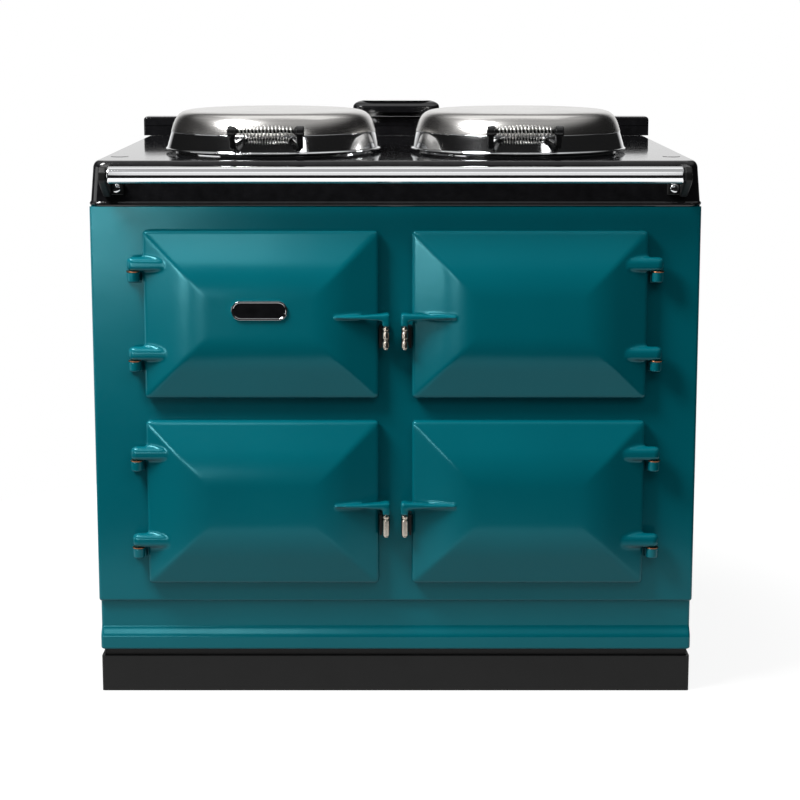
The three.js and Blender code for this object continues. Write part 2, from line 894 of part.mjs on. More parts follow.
// ---- Lids, in a frame at the hotplate's middle on the flat of the top plate ----
// The dome's curve: upright at the seam, a round shoulder and a shallow crown.
function domeCurve(radius, rise, count) {
  return Array.from({ length: count + 1 }, (_, i) => {
    const angle = (i / count) ** 2 * (Math.PI / 2);
    return [radius * Math.cos(angle), lidSeamHeight + seat + rise * Math.sqrt(Math.sin(angle))];
  }).map(([across, height], i) => [i === count ? 0 : across, height]);
}

const domeRise = lidHeight - lidSeamHeight - seat;

function lidDome() {
  const outside = domeCurve(lidSeamRadius, domeRise, 7);
  const inside = domeCurve(lidSeamRadius - lidShell, domeRise - lidShell, 5);
  return turned([...inside.reverse(), ...outside]);
}

function lidBaseOutside(gap) {
  return [
    [lidRimRadius + gap, lidRimHeight],
    [lidRimRadius + gap, lidRimHeight + 2.5],
    [lidRimRadius - 5.5 + gap, lidRimHeight + 5],
    [lidSeamRadius + 1.5 + gap, lidSeamHeight - 6],
    [lidSeamRadius - 1 + gap, lidSeamHeight],
  ];
}

function lidBase() {
  const shrink = 0.4;
  const core = domeCurve(lidSeamRadius - lidShell - shrink, domeRise - lidShell - shrink, 5);
  const foot = [core[0][0], lidSeamHeight];
  return turned([
    [0, recessTop],
    [recessRadius, recessTop],
    [recessRadius, lidRimHeight],
    ...lidBaseOutside(0),
    foot,
    ...core,
  ]);
}

function lidEnvelope() {
  const wide = lidSeamRadius + seat;
  return turned([
    [0, lidRimHeight],
    ...lidBaseOutside(seat),
    [wide, lidSeamHeight],
    [wide, lidHeight],
    [0, lidHeight],
  ]);
}

function handleFrame() {
  const half = coilLength / 2;
  const axis = (x) => [x, -handleForward, handleHeight];
  const core = bar(axis(-half - 1), axis(half + 1), coreRadius, 8);
  const ends = [-1, 1].map((hand) => {
    const across = [hand * half, hand * (half + handleBlockWidth)].sort((a, b) => a - b);
    const stemAcross = [hand * (half + 2), hand * (half + handleBlockWidth - 2)].sort((a, b) => a - b);
    const round = bar(axis(across[0]), axis(across[1]), handleBlockRadius, 12);
    const stem = prismX(
      [
        [-handleForward - 4, handleHeight - 4],
        [-handleForward - 1, handleHeight - 8],
        [-handleForward + 14, lidSeamHeight - 22],
        [-handleForward + 60, lidSeamHeight - 22],
        [-handleForward + 60, lidSeamHeight - 6],
        [-handleForward + 4, handleHeight + 5],
      ],
      stemAcross,
    );
    return join(round, stem);
  });
  return cut(join(core, ...ends), lidEnvelope());
}

function coilPoints() {
  const lead = 2 * wireRadius;
  const half = coilLength / 2 - seat;
  const wound = half - lead;
  const endRadius = coilEndDiameter / 2 - wireRadius;
  const swell = (coilMiddleDiameter - coilEndDiameter) / 2;
  const steps = coilTurns * stepsPerTurn;
  const turns = Array.from({ length: steps + 1 }, (_, step) => {
    const along = step / steps;
    const angle = 2 * Math.PI * coilTurns * along;
    const radius = endRadius + swell * Math.sin(Math.PI * along);
    return [wound * (2 * along - 1), radius * Math.cos(angle), radius * Math.sin(angle)];
  });
  const ends = [-half, half].map((x) => [x, endRadius, 0]);
  const local = [ends[0], ...turns, ends[1]];
  return local.map(([x, y, z]) => [x, y - handleForward, z + handleHeight]);
}

// The least gap between two turns, measured on the wire's points.
function coilGap(points) {
  let least = Infinity;
  for (let i = 0; i < points.length; i++) {
    for (let j = i + stepsPerTurn / 2; j < points.length; j++) {
      least = Math.min(least, Math.hypot(...points[i].map((value, axis) => value - points[j][axis])));
    }
  }
  return least - 2 * wireRadius;
}

function handleCoil() {
  return wire(coilPoints(), wireRadius, wireSides);
}

function lidHingeArm() {
  const half = barrelLength / 2;
  const axis = (x) => [x, lidHingeBack, lidHingeHeight];
  const barrel = bar(axis(-half), axis(half), barrelRadius);
  const arm = block(
    [-half + 3, half - 3],
    [lidRimRadius - 30, lidHingeBack],
    [lidHingeHeight - 8, lidHingeHeight + 7],
  );
  const bore = bar(axis(-half - 1), axis(half + 1), lidPinRadius + hingeRunningGap);
  return cut(join(barrel, arm), lidEnvelope(), bore);
}

function lidHingeBase() {
  const inner = barrelLength / 2 + 0.6;
  const outer = inner + earThickness;
  const axis = (x) => [x, lidHingeBack, lidHingeHeight];
  const ears = [-1, 1].map((hand) => {
    const across = [hand * inner, hand * outer].sort((a, b) => a - b);
    const along = [lidHingeBack - 9, lidHingeBack + 9];
    const cheek = block(across, along, [seat, lidHingeHeight]);
    return join(cheek, bar(axis(across[0]), axis(across[1]), 9, 14));
  });
  const plate = block(
    [-outer - 6, outer + 6],
    [lidHingeBack - 15, lidHingeBack + 18],
    [seat, 6],
  );
  const pin = bar(axis(-outer + 1), axis(outer - 1), lidPinRadius);
  return join(plate, pin, ...ears);
}

// ---- Assembly ----
const cooker = new THREE.Group();

add(cooker, "plinth", plinth(), satinBlack);
add(cooker, "skirt", skirt(), tealEnamel);
add(cooker, "front_plate", frontPlate(), tealEnamel);
add(cooker, "side_panel_left", sidePanel(-1), tealEnamel);
add(cooker, "side_panel_right", sidePanel(1), tealEnamel);
add(cooker, "back_panel", backPanel(), galvanised);
add(cooker, "terminal_box", terminalBox(), blackPlastic);
add(cooker, "top_plate", topPlate(), blackEnamel);
add(cooker, "insulation", insulation(), mineralWool);
add(cooker, "rear_upstand", rearUpstand(), blackEnamel);
add(cooker, "vent_cap", ventCap(), blackEnamel);
add(cooker, "handrail", handrail(), polishedSteel);
add(cooker, "handrail_bracket_left", railBracket(-1), blackEnamel);
add(cooker, "handrail_bracket_right", railBracket(1), blackEnamel);

add(cooker, "roasting_oven", ovenLiner(1, upperRow), castIron);
add(cooker, "baking_oven", ovenLiner(-1, lowerRow), castIron);
add(cooker, "simmering_oven", ovenLiner(1, lowerRow), castIron);
add(cooker, "roasting_rack", ovenRack(1, upperRow), polishedSteel);
add(cooker, "baking_rack", ovenRack(-1, lowerRow), polishedSteel);
add(cooker, "control_box", controlBox(), galvanised);

for (const [name, hand] of [["temperature_knob", -1], ["timer_knob", 1]]) {
  const place = new THREE.Group();
  const x = -doorX + (hand * knobSpacing) / 2;
  place.position.set(x, front + mouthBack + controlDepth, upperRow);
  add(place, name, knob(), blackPlastic);
  cooker.add(place);
}

const doors = [
  { name: "control", side: -1, row: upperRow, plug: controlPlugDepth },
  { name: "roasting", side: 1, row: upperRow, plug: plugDepth },
  { name: "baking", side: -1, row: lowerRow, plug: plugDepth },
  { name: "simmering", side: 1, row: lowerRow, plug: plugDepth },
];

for (const { name, side, row, plug } of doors) {
  const place = new THREE.Group();
  place.position.set(side * doorX, front, row);
  place.scale.x = side;
  add(place, name + "_door", doorCasting(), tealEnamel);
  add(place, name + "_door_plug", doorPlug(plug), pressedAluminium);
  add(place, name + "_catch_roller", catchRoller(), nickel);
  add(place, name + "_catch_keeper", catchKeeper(), satinBlack);
  add(place, name + "_hinge_upper", hingeBracket(lugLevels[0]), tealEnamel);
  add(place, name + "_hinge_lower", hingeBracket(lugLevels[1]), tealEnamel);
  cooker.add(place);
}

for (const [name, side] of [["boiling", -1], ["simmering", 1]]) {
  const plate = new THREE.Group();
  plate.position.set(side * lidCentreX, lidY, 0);
  add(plate, name + "_plate", hotplate(), castIron);
  const lid = new THREE.Group();
  lid.position.set(side * lidCentreX, lidY, hobHeight);
  add(lid, name + "_lid_dome", lidDome(), polishedSteel);
  add(lid, name + "_lid_base", lidBase(), pressedAluminium);
  add(lid, name + "_lid_handle_frame", handleFrame(), blackPlastic);
  add(lid, name + "_lid_handle_coil", handleCoil(), polishedSteel);
  add(lid, name + "_lid_hinge_arm", lidHingeArm(), polishedSteel);
  add(lid, name + "_lid_hinge_base", lidHingeBase(), blackEnamel);
  cooker.add(plate, lid);
}

console.log("least gap in a handle coil: " + coilGap(coilPoints()).toFixed(2) + " mm");

export default cooker;
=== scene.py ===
import json
import math

import bmesh
import bpy
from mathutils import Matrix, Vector

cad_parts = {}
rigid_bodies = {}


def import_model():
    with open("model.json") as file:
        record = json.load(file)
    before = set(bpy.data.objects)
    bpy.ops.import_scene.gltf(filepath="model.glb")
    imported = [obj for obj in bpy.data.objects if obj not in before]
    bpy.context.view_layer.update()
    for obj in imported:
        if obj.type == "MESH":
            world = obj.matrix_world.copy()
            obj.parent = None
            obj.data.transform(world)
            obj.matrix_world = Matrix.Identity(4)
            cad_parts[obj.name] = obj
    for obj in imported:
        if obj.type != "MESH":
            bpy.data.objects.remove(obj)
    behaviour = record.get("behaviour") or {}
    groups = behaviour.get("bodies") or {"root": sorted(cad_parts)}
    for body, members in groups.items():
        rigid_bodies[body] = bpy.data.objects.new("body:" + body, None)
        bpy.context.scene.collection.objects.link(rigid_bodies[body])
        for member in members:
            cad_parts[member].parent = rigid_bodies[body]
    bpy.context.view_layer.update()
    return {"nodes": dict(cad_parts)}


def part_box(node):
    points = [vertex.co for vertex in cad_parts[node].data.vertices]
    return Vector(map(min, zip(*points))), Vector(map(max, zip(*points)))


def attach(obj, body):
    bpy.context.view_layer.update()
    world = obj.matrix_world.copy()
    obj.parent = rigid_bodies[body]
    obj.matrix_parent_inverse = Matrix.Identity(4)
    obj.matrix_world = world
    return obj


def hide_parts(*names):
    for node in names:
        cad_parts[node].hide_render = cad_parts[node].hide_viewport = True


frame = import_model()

millimetre = 0.001


# Shaping: small steps over Blender's own modelling tools.
def metres(*lengths):
    return tuple(length * millimetre for length in lengths)


def boxOf(node):
    low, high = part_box(node)
    return low / millimetre, high / millimetre


def middleOf(node):
    low, high = boxOf(node)
    return (low + high) / 2


def hold(*pieces):  # selects these alone, the first one active
    if bpy.context.object and bpy.context.object.mode == "EDIT":
        bpy.ops.object.mode_set(mode="OBJECT")
    bpy.ops.object.select_all(action="DESELECT")
    for piece in pieces:
        piece.select_set(True)
    bpy.context.view_layer.objects.active = pieces[0]


def settle(piece):  # its place, turn and size go into its mesh
    hold(piece)
    bpy.ops.object.transform_apply(location=True, rotation=True, scale=True)
    return piece


def addBlock(name, low, high):
    bpy.ops.object.select_all(action="DESELECT")
    middle = [(a + b) / 2 for a, b in zip(low, high)]
    bpy.ops.mesh.primitive_cube_add(size=1, location=metres(*middle))
    piece = bpy.context.object
    piece.scale = metres(*[b - a for a, b in zip(low, high)])
    piece.name = name
    return settle(piece)


def addBar(name, start, end, radius, sides=40):
    bpy.ops.object.select_all(action="DESELECT")
    along = Vector(end) - Vector(start)
    middle = (Vector(end) + Vector(start)) / 2
    bpy.ops.mesh.primitive_cylinder_add(
        vertices=sides,
        radius=radius * millimetre,
        depth=along.length * millimetre,
        location=metres(*middle),
        rotation=along.to_track_quat("Z", "Y").to_euler(),
    )
    piece = bpy.context.object
    piece.name = name
    return settle(piece)


def choose(piece, kind, test):  # into edit mode with the parts that pass the test selected
    hold(piece)
    bpy.ops.object.mode_set(mode="EDIT")
    bpy.ops.mesh.select_mode(type=kind)
    bpy.ops.mesh.select_all(action="DESELECT")
    mesh = bmesh.from_edit_mesh(piece.data)
    parts = {"VERT": mesh.verts, "EDGE": mesh.edges, "FACE": mesh.faces}[kind]
    for part in parts:
        if test(part):
            part.select_set(True)
    bmesh.update_edit_mesh(piece.data)


def leave():
    bpy.ops.object.mode_set(mode="OBJECT")


def ends(edge):  # both ends of an edge, in millimetres
    return [corner.co / millimetre for corner in edge.verts]


def runs(edge, axis):  # is the edge parallel to this axis
    start, end = ends(edge)
    along = end - start
    return abs(along[axis]) > 0.999 * along.length


def roundEdges(piece, radius, segments, test):
    choose(piece, "EDGE", test)
    bpy.ops.mesh.bevel(offset=radius * millimetre, offset_type="OFFSET", segments=segments, affect="EDGES")
    leave()


def apply(piece, kind, **settings):
    modifier = piece.modifiers.new(kind.title(), kind)
    for setting, value in settings.items():
        setattr(modifier, setting, value)
    hold(piece)
    bpy.ops.object.modifier_apply(modifier=modifier.name)


def soften(piece, radius, segments=3, sharper=35):
    apply(
        piece,
        "BEVEL",
        width=radius * millimetre,
        segments=segments,
        limit_method="ANGLE",
        angle_limit=math.radians(sharper),
    )


def polish(piece, angle=38):  # smooth shading that leaves the flats flat
    hold(piece)
    bpy.ops.object.shade_smooth_by_angle(angle=math.radians(angle))
    apply(piece, "WEIGHTED_NORMAL", keep_sharp=True)
    return piece


def carve(piece, *cutters):
    for cutter in cutters:
        apply(piece, "BOOLEAN", operation="DIFFERENCE", solver="EXACT", object=cutter)
        bpy.data.objects.remove(cutter)
    return piece


def joined(name, *pieces):
    hold(*pieces)
    bpy.ops.object.join()
    pieces[0].name = name
    return pieces[0]


def copied(piece, name, move=(0, 0, 0), mirror=False):  # a copy with a mesh of its own
    hold(piece)
    bpy.ops.object.duplicate()
    copy = bpy.context.object
    copy.name = name
    if mirror:
        copy.scale.x = -1
        settle(copy)
        choose(copy, "FACE", lambda face: True)
        bpy.ops.mesh.normals_make_consistent(inside=False)
        leave()
    copy.location = metres(*move)
    return settle(copy)


def startLine(name, first):  # one loose corner, ready to be drawn out
    bpy.ops.object.select_all(action="DESELECT")
    bpy.ops.mesh.primitive_plane_add(size=millimetre)
    piece = bpy.context.object
    piece.name = name
    bpy.ops.object.mode_set(mode="EDIT")
    bpy.ops.mesh.select_mode(type="VERT")
    bpy.ops.mesh.select_all(action="SELECT")
    bpy.ops.mesh.merge(type="CENTER")
    bpy.ops.transform.translate(value=metres(*first))
    return piece


def drawOut(points):
    for before, after in zip(points, points[1:]):
        step = [b - a for a, b in zip(before, after)]
        bpy.ops.mesh.extrude_region_move(TRANSFORM_OT_translate={"value": metres(*step)})


def turned(name, profile, centre, axis="Z", steps=72):  # profile: [radius, height along the axis]
    points = [(radius, 0, height) for radius, height in profile]
    piece = startLine(name, points[0])
    drawOut(points)
    bpy.ops.mesh.select_all(action="SELECT")
    bpy.ops.mesh.spin(steps=steps, angle=2 * math.pi, center=(0, 0, 0), axis=(0, 0, 1))
    bpy.ops.mesh.select_all(action="SELECT")
    bpy.ops.mesh.remove_doubles(threshold=0.01 * millimetre)
    bpy.ops.mesh.normals_make_consistent(inside=False)
    leave()
    piece.rotation_euler = {"X": (0, math.pi / 2, 0), "Y": (math.pi / 2, 0, 0), "Z": (0, 0, 0)}[axis]
    piece.location = metres(*centre)
    return settle(piece)


def prism(name, outline, axis, low, high):  # an outline drawn across one axis and pulled along it
    spot = {
        "X": lambda a, b: (low, a, b),
        "Y": lambda a, b: (a, low, b),
        "Z": lambda a, b: (a, b, low),
    }[axis]
    points = [spot(a, b) for a, b in outline]
    piece = startLine(name, points[0])
    drawOut(points)
    bpy.ops.mesh.select_all(action="SELECT")
    bpy.ops.mesh.edge_face_add()
    pull = {"X": (high - low, 0, 0), "Y": (0, high - low, 0), "Z": (0, 0, high - low)}[axis]
    bpy.ops.mesh.extrude_region_move(TRANSFORM_OT_translate={"value": metres(*pull)})
    bpy.ops.mesh.select_all(action="SELECT")
    bpy.ops.mesh.normals_make_consistent(inside=False)
    leave()
    return piece


def arc(centre, radius, start, end, steps):  # [across, up] points, angles in degrees
    angles = [math.radians(start + (end - start) * step / steps) for step in range(steps + 1)]
    return [(centre[0] + radius * math.cos(a), centre[1] + radius * math.sin(a)) for a in angles]


def pullFace(move=(0, 0, 0), size=(1, 1, 1), about=(0, 0, 0)):  # extrudes the chosen face one step
    bpy.ops.mesh.extrude_region_move(TRANSFORM_OT_translate={"value": metres(*move)})
    bpy.ops.transform.resize(value=size, center_override=metres(*about))


def place(piece, body, material, slot=None, *nodes):
    piece.data.materials.clear()
    piece.data.materials.append(material)
    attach(piece, body)
    if nodes:
        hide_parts(*nodes)
    return piece


def coat(node, material):  # a frame piece whose shape is right gets its finish
    piece = frame["nodes"][node]
    for slot in piece.material_slots:
        slot.material = material


# Finishes: one for each real material, drawn from patterns in object space.
def colour(code):  # an sRGB hex value as linear light
    parts = [int(code[start : start + 2], 16) / 255 for start in (1, 3, 5)]
    linear = [part / 12.92 if part <= 0.04045 else ((part + 0.055) / 1.055) ** 2.4 for part in parts]
    return (*linear, 1)


def perLength(length):  # a pattern scale that repeats about once in this many millimetres
    return 1 / (length * millimetre)


def perWave(length):  # the same for a wave pattern, whose own repeat is a tenth of pi
    return perLength(length) * math.pi / 10


def addNode(tree, kind, inputs=None, **settings):
    node = tree.nodes.new(kind)
    for setting, value in settings.items():
        setattr(node, setting, value)
    for socket, source in (inputs or {}).items():
        if isinstance(source, bpy.types.Node):
            source = source.outputs[0]
        if isinstance(source, bpy.types.NodeSocket):
            tree.links.new(source, node.inputs[socket])
        else:
            node.inputs[socket].default_value = source
    return node


def startMaterial(name):
    material = bpy.data.materials.new(name)
    material.use_nodes = True
    material.node_tree.nodes.clear()
    tree = material.node_tree
    return material, tree, addNode(tree, "ShaderNodeTexCoord").outputs["Object"]


def endMaterial(tree, sockets):
    shader = addNode(tree, "ShaderNodeBsdfPrincipled", sockets)
    addNode(tree, "ShaderNodeOutputMaterial", {"Surface": shader})


def makeFinish(name, look):  # colour, relief and shine follow noise: tone, grain and swell are (size, detail)
    material, tree, where = startMaterial(name)
    laid = addNode(tree, "ShaderNodeMapping", {"Vector": where, "Scale": look.get("stretch", (1, 1, 1))})
    noise = {}
    for part in [part for part in ("tone", "grain", "swell") if part in look]:
        size, detail = look[part]
        pattern = {"Vector": laid, "Scale": perLength(size), "Detail": detail}
        noise[part] = addNode(tree, "ShaderNodeTexNoise", pattern)
    pair = {"Factor": noise["tone"], 6: colour(look["tints"][0]), 7: colour(look["tints"][1])}
    tint = addNode(tree, "ShaderNodeMix", pair, data_type="RGBA")
    sockets = {"Base Color": tint.outputs[2], **look["surface"]}
    if "shine" in look:
        follows = noise[look.get("shineFollows", "tone")]
        span = {"Value": follows, "To Min": look["shine"][0], "To Max": look["shine"][1]}
        sockets["Roughness"] = addNode(tree, "ShaderNodeMapRange", span)
    for part, bump in look.get("relief", {}).items():
        relief = {"Height": noise[part], "Strength": bump[0], "Distance": bump[1]}
        if "Normal" in sockets:
            relief["Normal"] = sockets["Normal"]
        sockets["Normal"] = addNode(tree, "ShaderNodeBump", relief)
    endMaterial(tree, sockets)
    return material


# Stainless steel spun and polished on a lathe: the faint rings draw the reflections out round the lid.
def makeSpunSteel(name, centre, shine, dull):
    look = {"bright": "#dedcd9", "grey": "#c9c7c4", "ring": 2.2, "smudge": 55}
    material, tree, where = startMaterial(name)
    middle = addNode(tree, "ShaderNodeVectorMath", {0: where, 1: metres(*centre)}, operation="SUBTRACT")
    reach = addNode(tree, "ShaderNodeVectorMath", {0: middle}, operation="LENGTH").outputs["Value"]
    spun = {"W": reach, "Scale": perLength(look["ring"]), "Detail": 3}
    rings = addNode(tree, "ShaderNodeTexNoise", spun, noise_dimensions="1D")
    touched = {"Vector": where, "Scale": perLength(look["smudge"]), "Detail": 4}
    smudge = addNode(tree, "ShaderNodeTexNoise", touched)
    pair = {"Factor": rings, 6: colour(look["bright"]), 7: colour(look["grey"])}
    tint = addNode(tree, "ShaderNodeMix", pair, data_type="RGBA")
    skin = addNode(tree, "ShaderNodeBump", {"Height": rings, "Strength": 0.12, "Distance": 0.0002})
    gloss = addNode(tree, "ShaderNodeMapRange", {"Value": smudge, "To Min": shine, "To Max": dull})
    endMaterial(tree, {"Base Color": tint.outputs[2], "Metallic": 1, "Roughness": gloss, "Normal": skin})
    return material


# A bare or plated metal with a fine grain left by how it was made.
def makeMetal(name, bright, grey, grain, rough, stretch=(1, 1, 1)):
    look = {"tints": (bright, grey), "tone": (grain, 4), "relief": {"tone": (0.15, 0.0003)}}
    look |= {"shine": (rough * 0.8, rough * 1.25), "stretch": stretch, "surface": {"Metallic": 1}}
    return makeFinish(name, look)


# Cast iron faced on a lathe: grey rings about a millimetre and a half apart, drawn six times as wide to show.
def makeFacedIron(name, centre):
    look = {"bright": "#5a5856", "dark": "#393735", "ring": 9.475, "stain": 70}
    material, tree, where = startMaterial(name)
    middle = addNode(tree, "ShaderNodeVectorMath", {0: where, 1: metres(*centre)}, operation="SUBTRACT")
    cuts = {"Vector": middle, "Scale": perWave(look["ring"]), "Distortion": 0.4}
    rings = addNode(tree, "ShaderNodeTexWave", cuts, wave_type="RINGS", rings_direction="Z")
    stained = {"Vector": where, "Scale": perLength(look["stain"]), "Detail": 5}
    stain = addNode(tree, "ShaderNodeTexNoise", stained)
    pair = {"Factor": stain, 6: colour(look["bright"]), 7: colour(look["dark"])}
    tint = addNode(tree, "ShaderNodeMix", pair, data_type="RGBA")
    skin = addNode(tree, "ShaderNodeBump", {"Height": rings, "Strength": 0.4, "Distance": 0.0004})
    gloss = addNode(tree, "ShaderNodeMapRange", {"Value": stain, "To Min": 0.35, "To Max": 0.6})
    endMaterial(tree, {"Base Color": tint.outputs[2], "Metallic": 0.85, "Roughness": gloss, "Normal": skin})
    return material


# Ground-coat enamel on rough iron: blue-black with grey flecks and the casting's grain under it.
def makeOvenEnamel():
    look = {"colour": "#17181c", "fleck": "#4c4f55", "grain": 7, "fleckSize": 9}
    material, tree, where = startMaterial("flecked ground coat enamel")
    cells = addNode(tree, "ShaderNodeTexVoronoi", {"Vector": where, "Scale": perLength(look["fleckSize"])})
    edge = {"Value": cells, "From Min": 0.1, "From Max": 0.22, "To Min": 1, "To Max": 0}
    fleck = addNode(tree, "ShaderNodeMapRange", edge)
    pair = {"Factor": fleck, 6: colour(look["colour"]), 7: colour(look["fleck"])}
    tint = addNode(tree, "ShaderNodeMix", pair, data_type="RGBA")
    cast = {"Vector": where, "Scale": perLength(look["grain"]), "Detail": 3}
    grain = addNode(tree, "ShaderNodeTexNoise", cast)
    skin = addNode(tree, "ShaderNodeBump", {"Height": grain, "Strength": 0.3, "Distance": 0.0008})
    endMaterial(tree, {"Base Color": tint.outputs[2], "Roughness": 0.38, "IOR": 1.5, "Normal": skin})
    return material


# Hot dipped zinc: pale grey with the frosted patches that the zinc freezes in.
def makeGalvanised():
    look = {"bright": "#b4b7b9", "dull": "#a2a5a8", "spangle": 9}
    material, tree, where = startMaterial("galvanised sheet steel")
    cells = addNode(tree, "ShaderNodeTexVoronoi", {"Vector": where, "Scale": perLength(look["spangle"])})
    tone = addNode(tree, "ShaderNodeSeparateColor", {"Color": cells.outputs["Color"]})
    pair = {"Factor": tone, 6: colour(look["bright"]), 7: colour(look["dull"])}
    tint = addNode(tree, "ShaderNodeMix", pair, data_type="RGBA")
    gloss = addNode(tree, "ShaderNodeMapRange", {"Value": tone, "To Min": 0.34, "To Max": 0.52})
    endMaterial(tree, {"Base Color": tint.outputs[2], "Metallic": 0.9, "Roughness": gloss})
    return material


# Braided glass fibre: off-white strands about three millimetres apart, drawn nearly twice as coarse to show.
def makeRope():
    look = {"pale": "#d2cdbd", "dark": "#8f8a7c", "strand": 5.655}
    material, tree, where = startMaterial("braided glass fibre")
    crossing = []
    for lean in (math.radians(45), math.radians(-45)):
        leaning = addNode(tree, "ShaderNodeMapping", {"Vector": where, "Rotation": (0, lean, 0)})
        strands = {"Vector": leaning, "Scale": perWave(look["strand"])}
        crossing.append(addNode(tree, "ShaderNodeTexWave", strands, wave_type="BANDS", bands_direction="X"))
    both = {0: crossing[0].outputs[1], 1: crossing[1].outputs[1]}
    braid = addNode(tree, "ShaderNodeMath", both, operation="MAXIMUM")
    pair = {"Factor": braid, 6: colour(look["dark"]), 7: colour(look["pale"])}
    tint = addNode(tree, "ShaderNodeMix", pair, data_type="RGBA")
    skin = addNode(tree, "ShaderNodeBump", {"Height": braid, "Strength": 0.7, "Distance": 0.0006})
    endMaterial(tree, {"Base Color": tint.outputs[2], "Roughness": 0.9, "Normal": skin})
    return material


# Glass enamel fired on cast iron: one deep colour under a wet glaze that is never quite level.
teal = {"tints": ("#005f6b", "#006873"), "tone": (160, 2), "grain": (9, 1), "swell": (70, 0)}
teal |= {"relief": {"swell": (0.25, 0.0012), "grain": (0.12, 0.0002)}, "shine": (0.17, 0.23)}
teal |= {"shineFollows": "grain", "surface": {"IOR": 1.5, "Specular Tint": colour("#96eef8")}}
tealEnamel = makeFinish("teal vitreous enamel", teal)

# Black glass enamel: near mirror, so what shows is mostly what it reflects.
black = {"tints": ("#0a0a0b", "#1a1a1c"), "tone": (14, 1), "swell": (90, 0)}
black |= {"relief": {"swell": (0.12, 0.0008)}, "shine": (0.05, 0.1), "surface": {"IOR": 1.52}}
blackEnamel = makeFinish("black vitreous enamel", black)

# Stoving paint sprayed on sheet steel: dark grey with a fine grain that blurs every highlight.
paint = {"tints": ("#0e0e0e", "#191919"), "tone": (60, 3), "grain": (2.5, 2)}
paint |= {"relief": {"grain": (0.25, 0.0003)}, "shine": (0.42, 0.58), "shineFollows": "grain"}
paint |= {"surface": {"IOR": 1.35}}
satinBlack = makeFinish("satin black stoving paint", paint)

# Moulded phenolic plastic: black with a soft shine from the tool.
phenolic = {"tints": ("#0c0c0d", "#1b1b1c"), "tone": (4, 3), "relief": {"tone": (0.1, 0.0002)}}
phenolic |= {"shine": (0.16, 0.28), "surface": {"IOR": 1.6}}
mouldedBlack = makeFinish("moulded phenolic plastic", phenolic)

# Felted rock fibre: straw coloured, soft and quite without shine.
wool = {"tints": ("#cfc097", "#9c8b5f"), "tone": (3, 5), "stretch": (0.3, 0.3, 1)}
wool |= {"relief": {"tone": (0.8, 0.001)}, "surface": {"Roughness": 0.95}}
mineralWool = makeFinish("mineral wool", wool)

# Bright chromium plate over steel, drawn along the bar.
plating = {"tints": ("#e8e9ea", "#d3d4d6"), "tone": (30, 3), "stretch": (0.06, 1, 1), "shine": (0.04, 0.12)}
chrome = makeFinish("bright chromium plate", {**plating, "surface": {"Metallic": 1}})

# Drawn wire left bare: each turn carries a soft bright line.
springSteel = makeMetal("bright spring steel wire", "#ecebe8", "#d2d1ce", 2, 0.28)

# Plated over brushed brass: warm, and its reflections a little blurred.
nickel = makeMetal("satin nickel plate", "#d8cfc3", "#b5aca0", 4, 0.24)

# Thin sheet browned by years of heat: red where it is rubbed, brown where it isn't.
copper = makeMetal("copper washer sheet", "#c98a66", "#8f5a3e", 5, 0.3)

# A thin bluish plating: cloudy grey with a dull shine.
zinc = makeMetal("zinc plated steel", "#b4b6b8", "#8d9092", 4, 0.35)

# Rolled and then pressed: pale, with faint streaks along the rolling.
pressedAluminium = makeMetal("pressed aluminium sheet", "#c3c5c7", "#a9abad", 3, 0.32, (0.08, 1, 1))

ovenEnamel = makeOvenEnamel()
galvanised = makeGalvanised()
rope = makeRope()
print("finishes made")


# Base and casing.
plateLow, plateHigh = boxOf("front_plate")
face = plateLow.y  # the front plate's face
backLow, backHigh = boxOf("back_panel")
rear = backHigh.y
halfWidth = plateHigh.x


def growUp(piece, levels, back):  # pulls the top face up through [height, side inset, front inset] levels
    wide = halfWidth
    choose(piece, "FACE", lambda face: face.normal.z > 0.9)
    for (z, side, near), (nextZ, nextSide, nextNear) in zip(levels, levels[1:]):
        across = (wide - nextSide) / (wide - side)
        deep = (back - face - nextNear) / (back - face - near)
        pullFace((0, 0, nextZ - z), (across, deep, 1), (0, back, nextZ))
    leave()


def startWrap(name, level, back, corner, steps=6):  # a thin slab with round front corners
    z, side, near = level
    wide = halfWidth - side
    sliver = 0.3
    piece = addBlock(name, [-wide, face + near, z - sliver], [wide, back, z])
    roundEdges(piece, corner, steps, lambda edge: runs(edge, 2) and ends(edge)[0].y < face + near + 1)
    return piece


def makePlinth():
    plinth = {"height": 60, "step": 6, "round": 3.5, "corner": 4, "wall": 9}
    low, high = boxOf("plinth")
    piece = addBlock("plinth", low, [high.x, high.y, plinth["height"]])
    roundEdges(piece, plinth["corner"], 5, lambda edge: runs(edge, 2))
    above, below = high.z - plinth["height"], plinth["height"]
    for side, inset, pull in ((1, plinth["step"], above), (-1, plinth["wall"], below)):
        choose(piece, "FACE", lambda face: face.normal.z * side > 0.9)
        bpy.ops.mesh.inset(thickness=inset * millimetre)
        bpy.ops.mesh.extrude_region_move(TRANSFORM_OT_translate={"value": metres(0, 0, pull)})
        leave()
    soften(piece, plinth["round"], 4)
    place(polish(piece), "cooker_body", satinBlack, "satin_black", "plinth")


